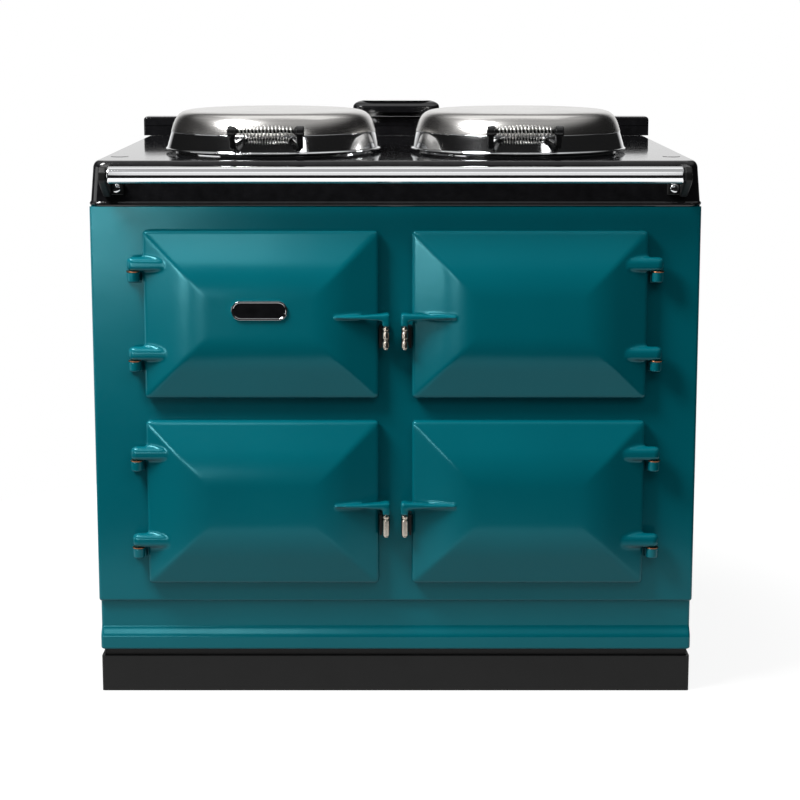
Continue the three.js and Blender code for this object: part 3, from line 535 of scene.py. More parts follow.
def makeSkirt():
    skirt = {"moulding": 20, "fall": 21, "recess": 8, "foot": 4, "side": 1.3, "draw": 0.7}
    skirt |= {"wall": 6, "corner": 5}
    low, high = boxOf("skirt")
    foot = [
        (low.z + up, skirt["side"] + skirt["foot"] + across, skirt["foot"] + across)
        for across, up in arc((0, skirt["foot"]), skirt["foot"], 270, 180, 5)
    ]
    levels = foot
    start = low.z + skirt["moulding"]
    for step in range(11):
        share = step / 10
        fall = 0.5 - 0.5 * math.cos(math.pi * share)
        side = skirt["side"] + skirt["draw"] * fall
        levels.append((start + skirt["fall"] * share, side, skirt["recess"] * fall))
    levels.append((high.z, skirt["side"] + skirt["draw"], skirt["recess"]))
    piece = startWrap("skirt", levels[0], high.y, skirt["corner"])
    growUp(piece, levels, high.y)
    inside = halfWidth - 2 - skirt["wall"]
    hollow = addBlock(
        "hollow",
        [-inside, face + skirt["recess"] + skirt["wall"], low.z - 5],
        [inside, high.y + 5, high.z + 5],
    )
    carve(piece, hollow)
    place(polish(piece, 50), "cooker_body", tealEnamel, "teal_enamel", "skirt")


doorNames = ["roasting", "control", "simmering", "baking"]
doorSizes = {"pocket": 18.4, "seal": 2, "rim": 16, "relief": 25, "slope": 77, "corner": 6}
doorSizes |= {"edge": 5, "blend": 30, "foot": 1.5, "overlap": 20}


def doorPlace(name):  # a door's middle and half sizes, from the plug that fills its back
    low, high = boxOf(name + "_door_plug")
    edge = doorSizes["pocket"]
    middle = (low + high) / 2
    half = (high - low) / 2
    return middle.x, middle.z, half.x + edge, half.z + edge


def addPanel(name, door, inset, near, far):  # a block this far in from a door's edges
    x, z = door[:2]
    wide, high = door[2] - inset, door[3] - inset
    return addBlock(name, [x - wide, near, z - high], [x + wide, far, z + high])


def makeFrontPlate():
    plate = {"corner": 5, "foot": 5, "thickness": 8, "side": 5, "mouthCorner": 12, "mouthEdge": 1.5}
    low, high = plateLow, plateHigh
    piece = addBlock("frontPlate", low, high)
    roundEdges(piece, plate["corner"], 6, lambda edge: runs(edge, 2) and ends(edge)[0].y < face + 1)

    def atFoot(edge):
        return all(end.z < low.z + 1 for end in ends(edge)) and any(end.y < high.y - 1 for end in ends(edge))

    roundEdges(piece, plate["foot"], 5, atFoot)
    hollow = addBlock(
        "hollow",
        [low.x + plate["side"], face + plate["thickness"], low.z - 5],
        [high.x - plate["side"], high.y + 5, high.z + 5],
    )
    mouths = []
    for name in doorNames:
        mouth = addPanel("mouth", doorPlace(name), doorSizes["overlap"], face - 5, face + 20)
        roundEdges(mouth, plate["mouthCorner"], 6, lambda edge: runs(edge, 1))
        mouths.append(mouth)
    carve(piece, hollow, *mouths)
    roundEdges(
        piece,
        plate["mouthEdge"],
        2,
        lambda edge: all(
            end.y < face + 0.1 and abs(end.x) < high.x - 30 and low.z + 30 < end.z < high.z - 30
            for end in ends(edge)
        ),
    )
    place(polish(piece), "cooker_body", tealEnamel, "teal_enamel", "front_plate")


def makeBack():
    sheet = {"rib": 1.2, "ribWide": 14, "ribs": 5, "ribEnd": 90, "ribStart": 0.42, "ribStep": 0.11}
    screw = {"radius": 5, "head": 1.6, "count": 4, "side": 14, "end": 20}
    low, high = backLow, backHigh
    piece = addBlock("backPanel", low, high)
    grooves = []
    for rib in range(sheet["ribs"]):
        z = low.z + (high.z - low.z) * (sheet["ribStart"] + sheet["ribStep"] * rib)
        groove = addBlock(
            "groove",
            [low.x + sheet["ribEnd"], high.y - sheet["rib"], z - sheet["ribWide"] / 2],
            [high.x - sheet["ribEnd"], high.y + 5, z + sheet["ribWide"] / 2],
        )
        roundEdges(groove, sheet["ribWide"] / 2 - 0.5, 5, lambda edge: runs(edge, 1))
        grooves.append(groove)
    terminalLow, terminalHigh = boxOf("terminal_box")
    opening = addBlock(
        "opening",
        [terminalLow.x - 1, low.y - 5, terminalLow.z - 1],
        [terminalHigh.x + 1, high.y + 5, terminalHigh.z + 1],
    )
    carve(piece, opening, *grooves)
    dimple = screw["radius"] + 1.5
    for row in range(screw["count"]):
        z = low.z + screw["end"] + (high.z - low.z - 2 * screw["end"]) * row / (screw["count"] - 1)
        for hand, x in (("Left", low.x + screw["side"]), ("Right", high.x - screw["side"])):
            sunk = high.y - screw["head"]
            carve(piece, addBar("dimple", [x, sunk, z], [x, high.y + 5, z], dimple, 24))
            start, end = [x, sunk - 1, z], [x, high.y - 0.3, z]
            head = addBar("backScrew" + hand + str(row + 1), start, end, screw["radius"], 24)
            soften(head, 0.8, 2)
            place(polish(head), "cooker_body", zinc)
    place(polish(piece), "cooker_body", galvanised, "galvanised_steel", "back_panel")


makePlinth()
makeSkirt()
makeFrontPlate()
makeBack()
coat("side_panel_left", tealEnamel)
coat("side_panel_right", tealEnamel)
coat("terminal_box", mouldedBlack)
coat("insulation", mineralWool)
print("casing made")


# Top plate, upstand and vent.
lidNames = ["boiling", "simmering"]


def makeTopPlate():
    top = {"bead": 8, "beadOut": 2, "foot": 0.5, "head": 4.5, "shoulder": 13, "edge": 9, "corner": 20}
    under = {"thickness": 10, "wall": 8, "bore": 161}
    low, high = boxOf("top_plate")
    levels = [
        (low.z + top["bead"] * share, out, out)
        for share, out in (
            (step / 8, top["foot"] - top["beadOut"] * math.sin(math.pi * step / 8)) for step in range(9)
        )
    ]
    for step in range(13):
        angle = math.pi / 2 * step / 12
        inset = top["head"] + top["edge"] * (1 - math.cos(angle))
        levels.append((high.z - top["shoulder"] * (1 - math.sin(angle)), inset, inset))
    piece = startWrap("topPlate", levels[0], high.y, top["corner"], 10)
    growUp(piece, levels, high.y)
    wide = halfWidth - top["head"] - top["edge"] - 2
    hollow = addBlock(
        "hollow",
        [-wide, face + under["wall"] + 13, low.z - 5],
        [wide, high.y - under["wall"], high.z - under["thickness"]],
    )
    bores = []
    for name in lidNames:
        x, y, _ = middleOf(name + "_plate")
        bores.append(addBar("bore", [x, y, high.z - 30], [x, y, high.z + 5], under["bore"], 96))
    carve(piece, hollow, *bores)
    place(polish(piece, 32), "cooker_body", blackEnamel, "black_enamel", "top_plate")
    plug = {"radius": 14.5, "x": 458, "back": 106, "rise": 0.5}
    for hand, side in (("Left", -1), ("Right", 1)):
        x, y = side * plug["x"], face + plug["back"]
        disc = addBar("hobPlug" + hand, [x, y, high.z - 2], [x, y, high.z + plug["rise"]], plug["radius"], 48)
        soften(disc, 0.4, 2)
        place(polish(disc), "cooker_body", blackEnamel, "black_enamel")


def makeUpstand():
    upstand = {"corner": 7, "round": 4, "line": 1.4, "lineDeep": 1.2, "lineUp": 18}
    low, high = boxOf("rear_upstand")
    piece = addBlock("rearUpstand", low, high)
    roundEdges(piece, upstand["corner"], 6, lambda edge: runs(edge, 1) and ends(edge)[0].z > high.z - 1)

    def atFront(edge):
        return all(end.y < low.y + 0.1 for end in ends(edge)) and any(end.z > low.z + 1 for end in ends(edge))

    roundEdges(piece, upstand["round"], 5, atFront)
    start = low.z + upstand["lineUp"]
    end = start + upstand["line"]
    groove = addBlock("groove", [low.x - 5, low.y - 5, start], [high.x + 5, low.y + upstand["lineDeep"], end])
    carve(piece, groove)
    place(polish(piece), "cooker_body", blackEnamel, "black_enamel", "rear_upstand")


def makeVentCap():
    cap = {"corner": 22, "rim": 11.1, "pillow": 11.7, "inset": [24, 46]}
    neck = {"deep": 16, "wide": 140, "back": 18}
    low, high = boxOf("vent_cap")
    rimTop = high.z - cap["pillow"]
    rimLow = rimTop - cap["rim"]
    middle = (low + high) / 2
    piece = addBlock("ventCap", [low.x, low.y, rimLow], [high.x, high.y, rimTop])
    roundEdges(piece, cap["corner"], 8, lambda edge: runs(edge, 2))
    choose(piece, "FACE", lambda face: face.normal.z > 0.9)
    half = (high - low) / 2
    before = [half.x, half.y]
    for step in range(1, 13):
        angle = math.pi / 2 * step / 12
        after = [reach - inset * (1 - math.cos(angle)) for reach, inset in zip(half, cap["inset"])]
        rise = cap["pillow"] * (math.sin(angle) - math.sin(angle - math.pi / 24))
        pullFace((0, 0, rise), (after[0] / before[0], after[1] / before[1], 1), (middle.x, middle.y, 0))
        before = after
    leave()
    roundEdges(piece, 1.5, 3, lambda edge: all(end.z < rimLow + 0.1 for end in ends(edge)))
    near = high.y - neck["back"] - neck["deep"] / 2
    side = neck["wide"] / 2
    stem = addBlock("neck", [-side, near, low.z], [side, near + neck["deep"], rimLow + 1])
    piece = joined("ventCap", piece, stem)
    place(polish(piece), "cooker_body", blackEnamel, "black_enamel", "vent_cap")


makeTopPlate()
makeUpstand()
makeVentCap()
print("top plate made")


# Handrail.
def makeHandrail():
    bevel = 4
    low, high = boxOf("handrail")
    middle = (low + high) / 2
    radius = (high.z - low.z) / 2
    length = high.x
    far = arc((radius - bevel, length - bevel), bevel, 0, 90, 6)
    near = [(across, -along) for across, along in reversed(far)]
    piece = turned("handrail", [(0, -length), *near, *far, (0, length)], [0, middle.y, middle.z], "X", 64)
    place(polish(piece), "cooker_body", chrome, "polished_steel", "handrail")
    for hand, side in (("left", -1), ("right", 1)):
        makeRailBracket(hand, side, middle.z)
    return piece


def makeRailBracket(hand, side, railHeight):
    bracket = {"gap": 0.3, "nose": 6, "round": 2.4, "pad": 20, "padLow": 3, "padHigh": 25, "padOut": 6}
    low, high = boxOf("handrail_bracket_" + hand)
    railEnd = boxOf("handrail")[1].x
    inner, outer = railEnd + bracket["gap"], max(abs(low.x), abs(high.x))
    outline = [
        (low.y + bracket["nose"], railHeight - 13),
        (face - 8, low.z),
        (face + 0.8, low.z),
        (face + 4, high.z - 8),
        (face + 5.6, high.z),
        (low.y + 8, high.z),
        (low.y, high.z - 8),
        (low.y, railHeight - 7),
    ]
    across = sorted([side * inner, side * outer])
    cheek = prism("cheek", outline, "X", *across)
    soften(cheek, bracket["round"], 4, 25)
    padAcross = sorted([side * (inner - bracket["pad"]), side * (inner + 2)])
    pad = addBlock(
        "pad",
        [padAcross[0], face - bracket["padOut"], low.z + bracket["padLow"]],
        [padAcross[1], face + 1, low.z + bracket["padHigh"]],
    )
    soften(pad, bracket["round"], 4)
    piece = joined("railBracket" + hand.title(), cheek, pad)
    place(polish(piece), "cooker_body", satinBlack, "black_enamel", "handrail_bracket_" + hand)
    screw = {"radius": 7.5, "head": 3.6, "inside": 8.5, "up": 14}
    dome = [
        (screw["radius"] * math.cos(math.radians(a)), screw["head"] * math.sin(math.radians(a)))
        for a in range(0, 91, 10)
    ]
    spot = [side * (inner - screw["inside"]), face - bracket["padOut"] + 0.2, low.z + screw["up"]]
    profile = [(0, -1), (screw["radius"], -1), *dome[:-1], (0, screw["head"])]
    head = turned("railScrew" + hand.title(), profile, spot, "Y", 32)
    place(polish(head, 50), "cooker_body", chrome, "polished_steel")


handrail = makeHandrail()
print("handrail made")


# Doors.
def startDoor():  # the roasting door's bare casting; the others are copies of it
    x, z, wide, high = doorPlace("roasting")
    door = doorSizes
    back = face - door["seal"]
    flank = 12  # how far the first block reaches before the rim is drawn out
    piece = addPanel("casting", (x, z, wide, high), 0, back - flank, back)
    roundEdges(piece, door["corner"], 5, lambda edge: runs(edge, 1))
    slope = door["relief"] / door["slope"]
    lean = math.degrees(math.atan(1 / slope))
    rings = [(0, flank)]
    start = door["rim"] + slope * door["edge"] * (1 - math.cos(math.radians(lean)))
    start -= door["edge"] * math.sin(math.radians(lean))
    for step in range(1, 7):
        angle = math.radians(lean) * step / 6
        rings.append((door["edge"] * (1 - math.cos(angle)), start + door["edge"] * math.sin(angle)))
    blend = door["blend"]
    for step in range(11):
        along = 2 * blend * step / 10
        inset = door["slope"] - blend + along
        rings.append((inset, door["rim"] + slope * (inset - along**2 / (4 * blend))))
    choose(piece, "FACE", lambda face: face.normal.y < -0.9)
    for (inset, depth), (nextInset, nextDepth) in zip(rings, rings[1:]):
        size = ((wide - nextInset) / (wide - inset), 1, (high - nextInset) / (high - inset))
        pullFace((0, depth - nextDepth, 0), size, (x, 0, z))
    leave()
    roundEdges(piece, door["foot"], 2, lambda edge: all(end.y > back - 0.1 for end in ends(edge)))
    return piece


hinge = {"radius": 10, "height": 22, "forward": 20, "strap": 72, "nose": 8, "under": 6}
hinge |= {"washer": 2, "boss": 17, "pinTop": 7, "foot": 3}


def hingeLevels(name):  # the two lugs' middle heights, from the tops of their pins
    return [boxOf(name + "_hinge_" + which)[1].z - hinge["pinTop"] for which in ("upper", "lower")]


def makeLug(axisX, level):  # a strap with a round end, its back end sunk in the casting
    reach = hinge["radius"]
    y = face - hinge["forward"]
    low = [axisX - hinge["strap"], y - reach, level - hinge["height"] / 2]
    high = [axisX + reach, y + reach, level + hinge["height"] / 2]
    lug = addBlock("lug", low, high)
    roundEdges(lug, reach - 0.2, 8, lambda edge: runs(edge, 2) and ends(edge)[0].x > axisX)
    nose, under = hinge["nose"], hinge["under"]
    inner = low[0] + 1
    roundEdges(lug, nose, 6, lambda edge: runs(edge, 2) and ends(edge)[0].x < inner and ends(edge)[0].y < y)
    roundEdges(lug, nose, 7, lambda edge: not runs(edge, 2) and ends(edge)[0].z > level)
    roundEdges(lug, under, 6, lambda edge: not runs(edge, 2) and ends(edge)[0].z < level)
    return lug


catch = {"end": 8.5, "tip": 97.5, "block": 11, "rise": 6, "drop": 15, "deep": 22, "front": 43}


def makeFin(level):  # the tapered fin and the round-nosed head that carries the roller's pin
    near = face - catch["front"]
    fin = addBlock(
        "fin",
        [catch["end"] + 4, near, level - 6],
        [catch["tip"], near + catch["deep"], level + 5.5],
    )
    choose(fin, "FACE", lambda face: face.normal.x > 0.9)
    bpy.ops.transform.resize(value=(1, 0.12, 0.22), center_override=metres(0, near, level - 0.5))
    leave()
    soften(fin, 2.2, 4, 50)
    head = addBlock(
        "head",
        [catch["end"], near + 0.4, level - catch["drop"]],
        [catch["end"] + catch["block"] + 1.5, near + catch["deep"], level + catch["rise"]],
    )
    roundEdges(head, 3.6, 5, lambda edge: ends(edge)[0].z > level and ends(edge)[1].z > level)
    roundEdges(head, 2.2, 4, lambda edge: runs(edge, 2))
    return fin, head


def makeDoors():  # one casting: the glaze runs round every root and edge
    door = {"cell": 2, "melt": 7}
    upper = doorPlace("roasting")[1]
    lower = doorPlace("simmering")[1]
    axisX = middleOf("roasting_hinge_upper").x
    lugs = [makeLug(axisX, level) for level in hingeLevels("roasting")]
    roasting = joined("roastingDoor", startDoor(), *makeFin(upper), *lugs)
    apply(roasting, "REMESH", mode="VOXEL", voxel_size=door["cell"] * millimetre)
    apply(roasting, "SMOOTH", factor=0.5, iterations=door["melt"])
    drop = (0, 0, lower - upper)
    simmering = copied(roasting, "simmeringDoor", drop)
    control = copied(roasting, "controlDoor", mirror=True)
    baking = copied(roasting, "bakingDoor", drop, mirror=True)
    for piece, name in zip((roasting, control, simmering, baking), doorNames):
        place(polish(piece, 70), name + "_door", tealEnamel, "teal_enamel", name + "_door")


def makePlugs():
    pan = {"inset": 26, "corner": 8, "edge": 3, "panel": 26, "panelDeep": 3, "flange": 1.2, "flangeGap": 0.4}
    screw = {"radius": 4, "inset": 40}
    for name in doorNames:
        door = doorPlace(name)
        x, z, wide, high = door
        back = face - doorSizes["seal"]
        reach = boxOf(name + "_door_plug")[1].y
        edge = doorSizes["pocket"] + pan["flangeGap"]
        flange = addPanel("flange", door, edge, back - 1, back + pan["flange"])
        roundEdges(flange, 4, 4, lambda edge: runs(edge, 1))
        soften(flange, 0.5, 2)
        box = addPanel("box", door, pan["inset"], back - 1, reach)
        roundEdges(box, pan["corner"], 6, lambda edge: runs(edge, 1))
        choose(box, "FACE", lambda face: face.normal.y > 0.9)
        across, up = wide - pan["inset"], high - pan["inset"]
        border, deep = pan["panel"], pan["panelDeep"]
        for depth, before, after in ((0, 0, border), (deep, border, border + deep)):
            size = ((across - after) / (across - before), 1, (up - after) / (up - before))
            pullFace((0, -depth, 0), size, (x, 0, z))
        leave()
        soften(box, pan["edge"], 4)
        piece = joined(name + "DoorPlug", flange, box)
        place(polish(piece), name + "_door", pressedAluminium, "aluminium", name + "_door_plug")
        for number, (hand, up) in enumerate([(-1, -1), (-1, 1), (1, -1), (1, 1)], 1):
            spotX, spotZ = x + hand * (wide - screw["inset"]), z + up * (high - screw["inset"])
            start, end = [spotX, reach - 2, spotZ], [spotX, reach, spotZ]
            head = addBar(name + "PlugScrew" + str(number), start, end, screw["radius"], 24)
            soften(head, 0.8, 2)
            place(polish(head), name + "_door", zinc)
        makeSeal(name, door, back)


def makeSeal(name, door, back):
    seal = {"outside": 7, "inside": 15, "proud": 1.6, "corner": 9, "insideCorner": 4, "round": 1.2}
    outer = addPanel(name + "DoorSeal", door, seal["outside"], back - 1, back + seal["proud"])
    roundEdges(outer, seal["corner"], 6, lambda edge: runs(edge, 1))
    inner = addPanel("inner", door, seal["inside"], back - 5, back + 5)
    roundEdges(inner, seal["insideCorner"], 4, lambda edge: runs(edge, 1))
    carve(outer, inner)
    soften(outer, seal["round"], 3)
    place(polish(outer), name + "_door", rope)


def makeHinges():
    for name in doorNames:
        for which, level in zip(("upper", "lower"), hingeLevels(name)):
            node = name + "_hinge_" + which
            low, high = boxOf(node)
            x = (low.x + high.x) / 2
            y = face - hinge["forward"]
            top = level - hinge["height"] / 2 - hinge["washer"]
            foot = top - hinge["boss"]
            reach = hinge["radius"]
            curve = arc((reach - 3.4, foot + 3.4), 3, 270, 360, 5)
            profile = [(0, foot + 0.4), *curve, (reach, top - 1.2), (reach - 1, top), (5, top)]
            profile += [(5, high.z - 1), (4, high.z), (0, high.z)]
            boss = turned("boss", [(across, up - foot) for across, up in profile], [x, y, foot], "Z", 40)
            arm = addBlock("arm", [x - 7, y, foot + 2], [x + 7, face - 0.3, top - 1])
            soften(arm, 2, 3)
            base = addBlock("base", [x - 11, face - 5, foot - hinge["foot"]], [x + 11, face - 0.3, top + 1])
            soften(base, 2.4, 4)
            piece = joined(name + "Hinge" + which.title(), boss, arm, base)
            place(polish(piece), "cooker_body", tealEnamel, "teal_enamel", node)
            ring = [(5.3, 0), (reach + 0.4, 0), (reach + 0.7, 0.7), (reach + 0.4, 1.4), (5.3, 1.4), (5.3, 0)]
            washer = turned(name + "Washer" + which.title(), ring, [x, y, top + 0.3], "Z", 40)
            place(polish(washer), "cooker_body", copper)


def makeCatches():
    roller = {"ring": 4.8, "gap": 2.3, "waist": 4.4, "waistIn": 1.7, "round": 1.2}
    for name in doorNames:
        node = name + "_catch_roller"
        low, high = boxOf(node)
        middle = (low + high) / 2
        reach = (high.x - low.x) / 2
        length = high.z - low.z
        bead = (length - roller["ring"] - roller["gap"] - roller["waist"]) / 2
        curve = roller["round"]
        long = name in ("simmering", "baking")
        spans = [(0, length - roller["ring"] - roller["gap"])] if long else [
            (0, bead),
            (bead + roller["waist"], 2 * bead + roller["waist"]),
        ]
        spans.append((length - roller["ring"], length))
        profile = [(2.9, 0)]
        for start, end in spans:
            inside = reach - roller["waistIn"]
            if start > 0:
                profile.append((inside, start + 0.1))
            profile += arc((reach - curve, start + curve), curve, -90, 0, 3)
            profile += arc((reach - curve, end - curve), curve, 0, 90, 3)
            if end < length:
                profile.append((inside, end - 0.1))
        profile += [(2.9, length), (2.9, 0)]
        piece = turned(name + "CatchRoller", profile, [middle.x, middle.y, low.z], "Z", 40)
        place(polish(piece), name + "_catch_roller", nickel, "nickel", node)
        pin = addBar(
            name + "CatchPin",
            [middle.x, middle.y, low.z - 2],
            [middle.x, middle.y, high.z + 4],
            2.4,
            24,
        )
        soften(pin, 0.4, 2)
        cap = addBar("cap", [middle.x, middle.y, low.z - 2], [middle.x, middle.y, low.z - 0.3], 4, 24)
        soften(cap, 0.5, 2)
        place(polish(joined(name + "CatchPin", pin, cap)), name + "_door", nickel, "nickel")
        # The keepers are real catch parts, but their satin black also stands in for the shade beside each
        # roller: partly painted shade.
        coat(name + "_catch_keeper", satinBlack)


def makeNamelessPlate():  # a bare plate with a bright rim, off the middle of the control door
    badge = {"wide": 90, "high": 31, "left": 217.7, "up": 11.6, "thick": 3.2, "rim": 2.6, "sunk": 0.9}
    z = doorPlace("control")[1]
    near = face - doorSizes["seal"] - doorSizes["rim"] - doorSizes["relief"]
    low = [-badge["left"] - badge["wide"] / 2, near - badge["thick"], z + badge["up"] - badge["high"] / 2]
    high = [low[0] + badge["wide"], near + 0.4, low[2] + badge["high"]]
    rim = addBlock("plateRim", low, high)
    roundEdges(rim, badge["high"] / 2 - 0.3, 12, lambda edge: runs(edge, 1))
    choose(rim, "FACE", lambda face: face.normal.y < -0.9)
    bpy.ops.mesh.inset(thickness=badge["rim"] * millimetre)
    bpy.ops.mesh.inset(thickness=0.5 * millimetre, depth=-badge["sunk"] * millimetre)
    leave()
    soften(rim, 0.7, 3)
    place(polish(rim), "control_door", chrome, "polished_steel")
    shrink = badge["rim"] + 0.5
    field = addBlock(
        "plateField",
        [low[0] + shrink, low[1] + badge["sunk"] - 0.3, low[2] + shrink],
        [high[0] - shrink, near, high[2] - shrink],
    )
    roundEdges(field, (badge["high"] - 2 * shrink) / 2 - 0.3, 12, lambda edge: runs(edge, 1))
    soften(field, 0.3, 2)
    place(polish(field), "control_door", blackEnamel, "black_enamel")


makeDoors()
makePlugs()
makeHinges()
makeCatches()
makeNamelessPlate()
print("doors made")


# Hotplates and lids.
lid = {"rim": 186, "rimHeight": 5, "seam": 176, "seamHeight": 36.3, "top": 74, "shell": 3}
lid |= {"recess": 170, "under": 24, "gap": 0.3, "shoulder": 20, "crown": 3.4}


def lidPlace(name):  # the middle of a lid on the flat of the top plate
    middle = middleOf(name + "_plate")
    return [middle.x, middle.y, boxOf("top_plate")[1].z]


def domeCurve(radius, rise, steps):  # leans in from the seam, turns a round shoulder into a shallow crown
    base = lid["seamHeight"] + lid["gap"]
    shares = [1 - (step / steps) ** 2 for step in range(steps + 1)]
    lean, flat = lid["shoulder"], lid["crown"] / (lid["top"] - lid["seamHeight"] - lid["gap"])
    heights = [(1 - flat) * (1 - share**lean) + flat * (1 - share**2) for share in shares]
    return [(radius * share, base + rise * height) for share, height in zip(shares, heights)]


def makeLid(name):
    centre = lidPlace(name)
    body = name + "_lid"
    rise = lid["top"] - lid["seamHeight"] - lid["gap"]
    outside = domeCurve(lid["seam"], rise, 34)
    inside = domeCurve(lid["seam"] - lid["shell"], rise - lid["shell"], 16)
    dome = turned(name + "LidDome", [*reversed(inside), *outside], centre, "Z", 128)
    steel = makeSpunSteel("spun stainless steel " + name, centre, 0.19, 0.28)
    place(polish(dome, 45), body, steel, "polished_steel", name + "_lid_dome")

    lip = arc((lid["rim"] - 1.4, lid["rimHeight"] + 1.4), 1.4, -90, 90, 8)
    step = [(lid["rim"] - 2, lid["rimHeight"] + 3.2), (lid["rim"] - 2.8, lid["rimHeight"] + 4.6)]
    bead = arc((lid["seam"] - 0.6, lid["seamHeight"] - 1.1), 1.1, -60, 90, 6)
    core = domeCurve(lid["seam"] - lid["shell"] - 0.6, rise - lid["shell"] - 0.6, 12)
    liner = [
        (0, lid["under"] - 3),
        (18, lid["under"] - 3),
        (21, lid["under"]),
        (96, lid["under"]),
        (99, lid["under"] - 2),
        (108, lid["under"] - 2),
        (111, lid["under"]),
        (lid["recess"] - 7, lid["under"]),
        (lid["recess"] - 2, lid["under"] - 2),
        (lid["recess"], lid["under"] - 7),
        (lid["recess"], lid["rimHeight"] + 1),
        (lid["recess"] + 1, lid["rimHeight"]),
    ]
    wall = [(lid["seam"] + 1.9, lid["seamHeight"] - 8), (lid["seam"] + 0.4, lid["seamHeight"] - 3.4)]
    profile = [*liner, *lip, *step, *wall, *bead, (core[0][0], lid["seamHeight"]), *core]
    base = turned(name + "LidBase", profile, centre, "Z", 128)
    place(polish(base, 30), body, chrome, "aluminium", name + "_lid_base")
    makeHandle(name, centre, body)
    makeLidHinge(name, centre, body)


def makeHandle(name, centre, body):
    handle = {"forward": 199, "height": 45, "coil": 95, "block": 15, "radius": 9, "core": 3, "collar": 7.2}
    x, y, z = centre[0], centre[1] - handle["forward"], centre[2] + handle["height"]
    half = handle["coil"] / 2
    parts = []
    for side in (-1, 1):
        inner, outer = half, half + handle["block"]
        curve = arc((handle["radius"] - 2.2, outer - 2.2), 2.2, 0, 90, 5)
        profile = [(0, inner - 0.1), (handle["collar"], inner - 0.1), (handle["collar"], inner + 2)]
        profile += [(handle["radius"] - 1, inner + 2.2), (handle["radius"], inner + 3.2), *curve, (0, outer)]
        block = turned("block", [(across, side * along) for across, along in profile], [x, y, z], "X", 40)
        outline = [
            (y - 3.5, z - 4.5),
            (y - 1, z - 8),
            (y + 14, centre[2] + lid["seamHeight"] - 21),
            (y + 22.5, centre[2] + lid["seamHeight"] - 21),
            (y + 24.5, centre[2] + lid["seamHeight"] - 9),
            (y + 4, z + 4.5),
        ]
        across = sorted([x + side * (inner + 3), x + side * (outer - 2.5)])
        stem = prism("stem", outline, "X", *across)
        soften(stem, 1.6, 3, 25)
        parts += [block, stem]
    frameNode = name + "_lid_handle_frame"
    piece = joined(name + "HandleEnds", *parts)
    place(polish(piece), body, mouldedBlack, "black_plastic", frameNode)
    # The rod inside the coil is bare steel on the real handle; its satin black is painted shade, so the gaps
    # between the turns read dark.
    rod = addBar(name + "HandleRod", [x - half, y, z], [x + half, y, z], handle["core"], 24)
    ends = [addBar("end", [x + s * half, y, z], [x + s * (half - 1.2), y, z], 4.4, 24) for s in (-1, 1)]
    place(polish(joined(name + "HandleRod", rod, *ends)), body, satinBlack)
    makeCoil(name, [x, y, z], half, body)


def makeCoil(name, middle, half, body):  # one wire wound into a grip that swells in the middle
    coil = {"turns": 15, "wire": 1.3, "middle": 21.6, "end": 14, "steps": 22}
    count = coil["turns"] * coil["steps"]
    wound = half - 0.3 - 2 * coil["wire"]
    endRadius = coil["end"] / 2 - coil["wire"]
    swell = (coil["middle"] - coil["end"]) / 2
    points = [(-half + 0.3, endRadius, 0)]
    for step in range(count + 1):
        share = step / count
        angle = 2 * math.pi * coil["turns"] * share
        radius = endRadius + swell * math.sin(math.pi * share)
        points.append((wound * (2 * share - 1), radius * math.cos(angle), radius * math.sin(angle)))
    points.append((half - 0.3, endRadius, 0))
    bpy.ops.object.select_all(action="DESELECT")
    bpy.ops.curve.primitive_nurbs_path_add()
    piece = bpy.context.object
    piece.name = name + "HandleCoil"
    piece.data.splines.clear()
    path = piece.data.splines.new("POLY")
    path.points.add(len(points) - 1)
    for spot, point in zip(path.points, points):
        spot.co = (*metres(*[a + b for a, b in zip(point, middle)]), 1)
    piece.data.bevel_depth = coil["wire"] * millimetre
    piece.data.bevel_resolution = 3
    piece.data.use_fill_caps = True
    hold(piece)
    bpy.ops.object.convert(target="MESH")
    piece = bpy.context.object
    piece.location = (0, 0, 0)
    place(polish(settle(piece), 60), body, springSteel, "polished_steel", name + "_lid_handle_coil")


def makeLidHinge(name, centre, body):
    joint = {"back": 216, "up": 22, "barrel": 9, "half": 17, "pin": 5, "ear": 9}
    x, y, z = centre[0], centre[1] + joint["back"], centre[2] + joint["up"]
    half = joint["half"]
    bend = [(joint["barrel"] - 1.4, half), (joint["barrel"], half - 1.4)]
    profile = [(5.5, half), *bend]
    profile += [(across, -along) for across, along in reversed(profile)]
    barrel = turned("barrel", [*profile, profile[0]], [x, y, z], "X", 40)
    arm = addBlock("arm", [x - half + 3, centre[1] + lid["seam"] + 3, z - 8], [x + half - 3, y - 6.5, z + 6])
    soften(arm, 2.4, 3)
    piece = joined(name + "LidHingeArm", barrel, arm)
    place(polish(piece), body, chrome, "polished_steel", name + "_lid_hinge_arm")
    inner = half + 0.6
    outer = inner + joint["ear"]
    parts = []
    for side in (-1, 1):
        across = sorted([x + side * inner, x + side * outer])
        cheek = addBlock("cheek", [across[0], y - 9, centre[2] + 0.3], [across[1], y + 9, z])
        parts.append(cheek)
        disc = addBar("disc", [across[0], y, z], [across[1], y, z], 9, 40)
        soften(disc, 1, 2)
        parts.append(disc)
        nut = addBar("nut", [x + side * (outer - 0.5), y, z], [x + side * (outer + 2.2), y, z], 5.4, 6)
        soften(nut, 0.6, 2)
        parts.append(nut)
    foot = addBlock("foot", [x - outer - 6, y - 15, centre[2] + 0.3], [x + outer + 6, y + 18, centre[2] + 6])
    soften(foot, 2, 3)
    pin = addBar("pin", [x - outer + 1, y, z], [x + outer - 1, y, z], joint["pin"], 24)
    piece = joined(name + "LidHingeBase", foot, pin, *parts)
    place(polish(piece), "cooker_body", blackEnamel, "black_enamel", name + "_lid_hinge_base")


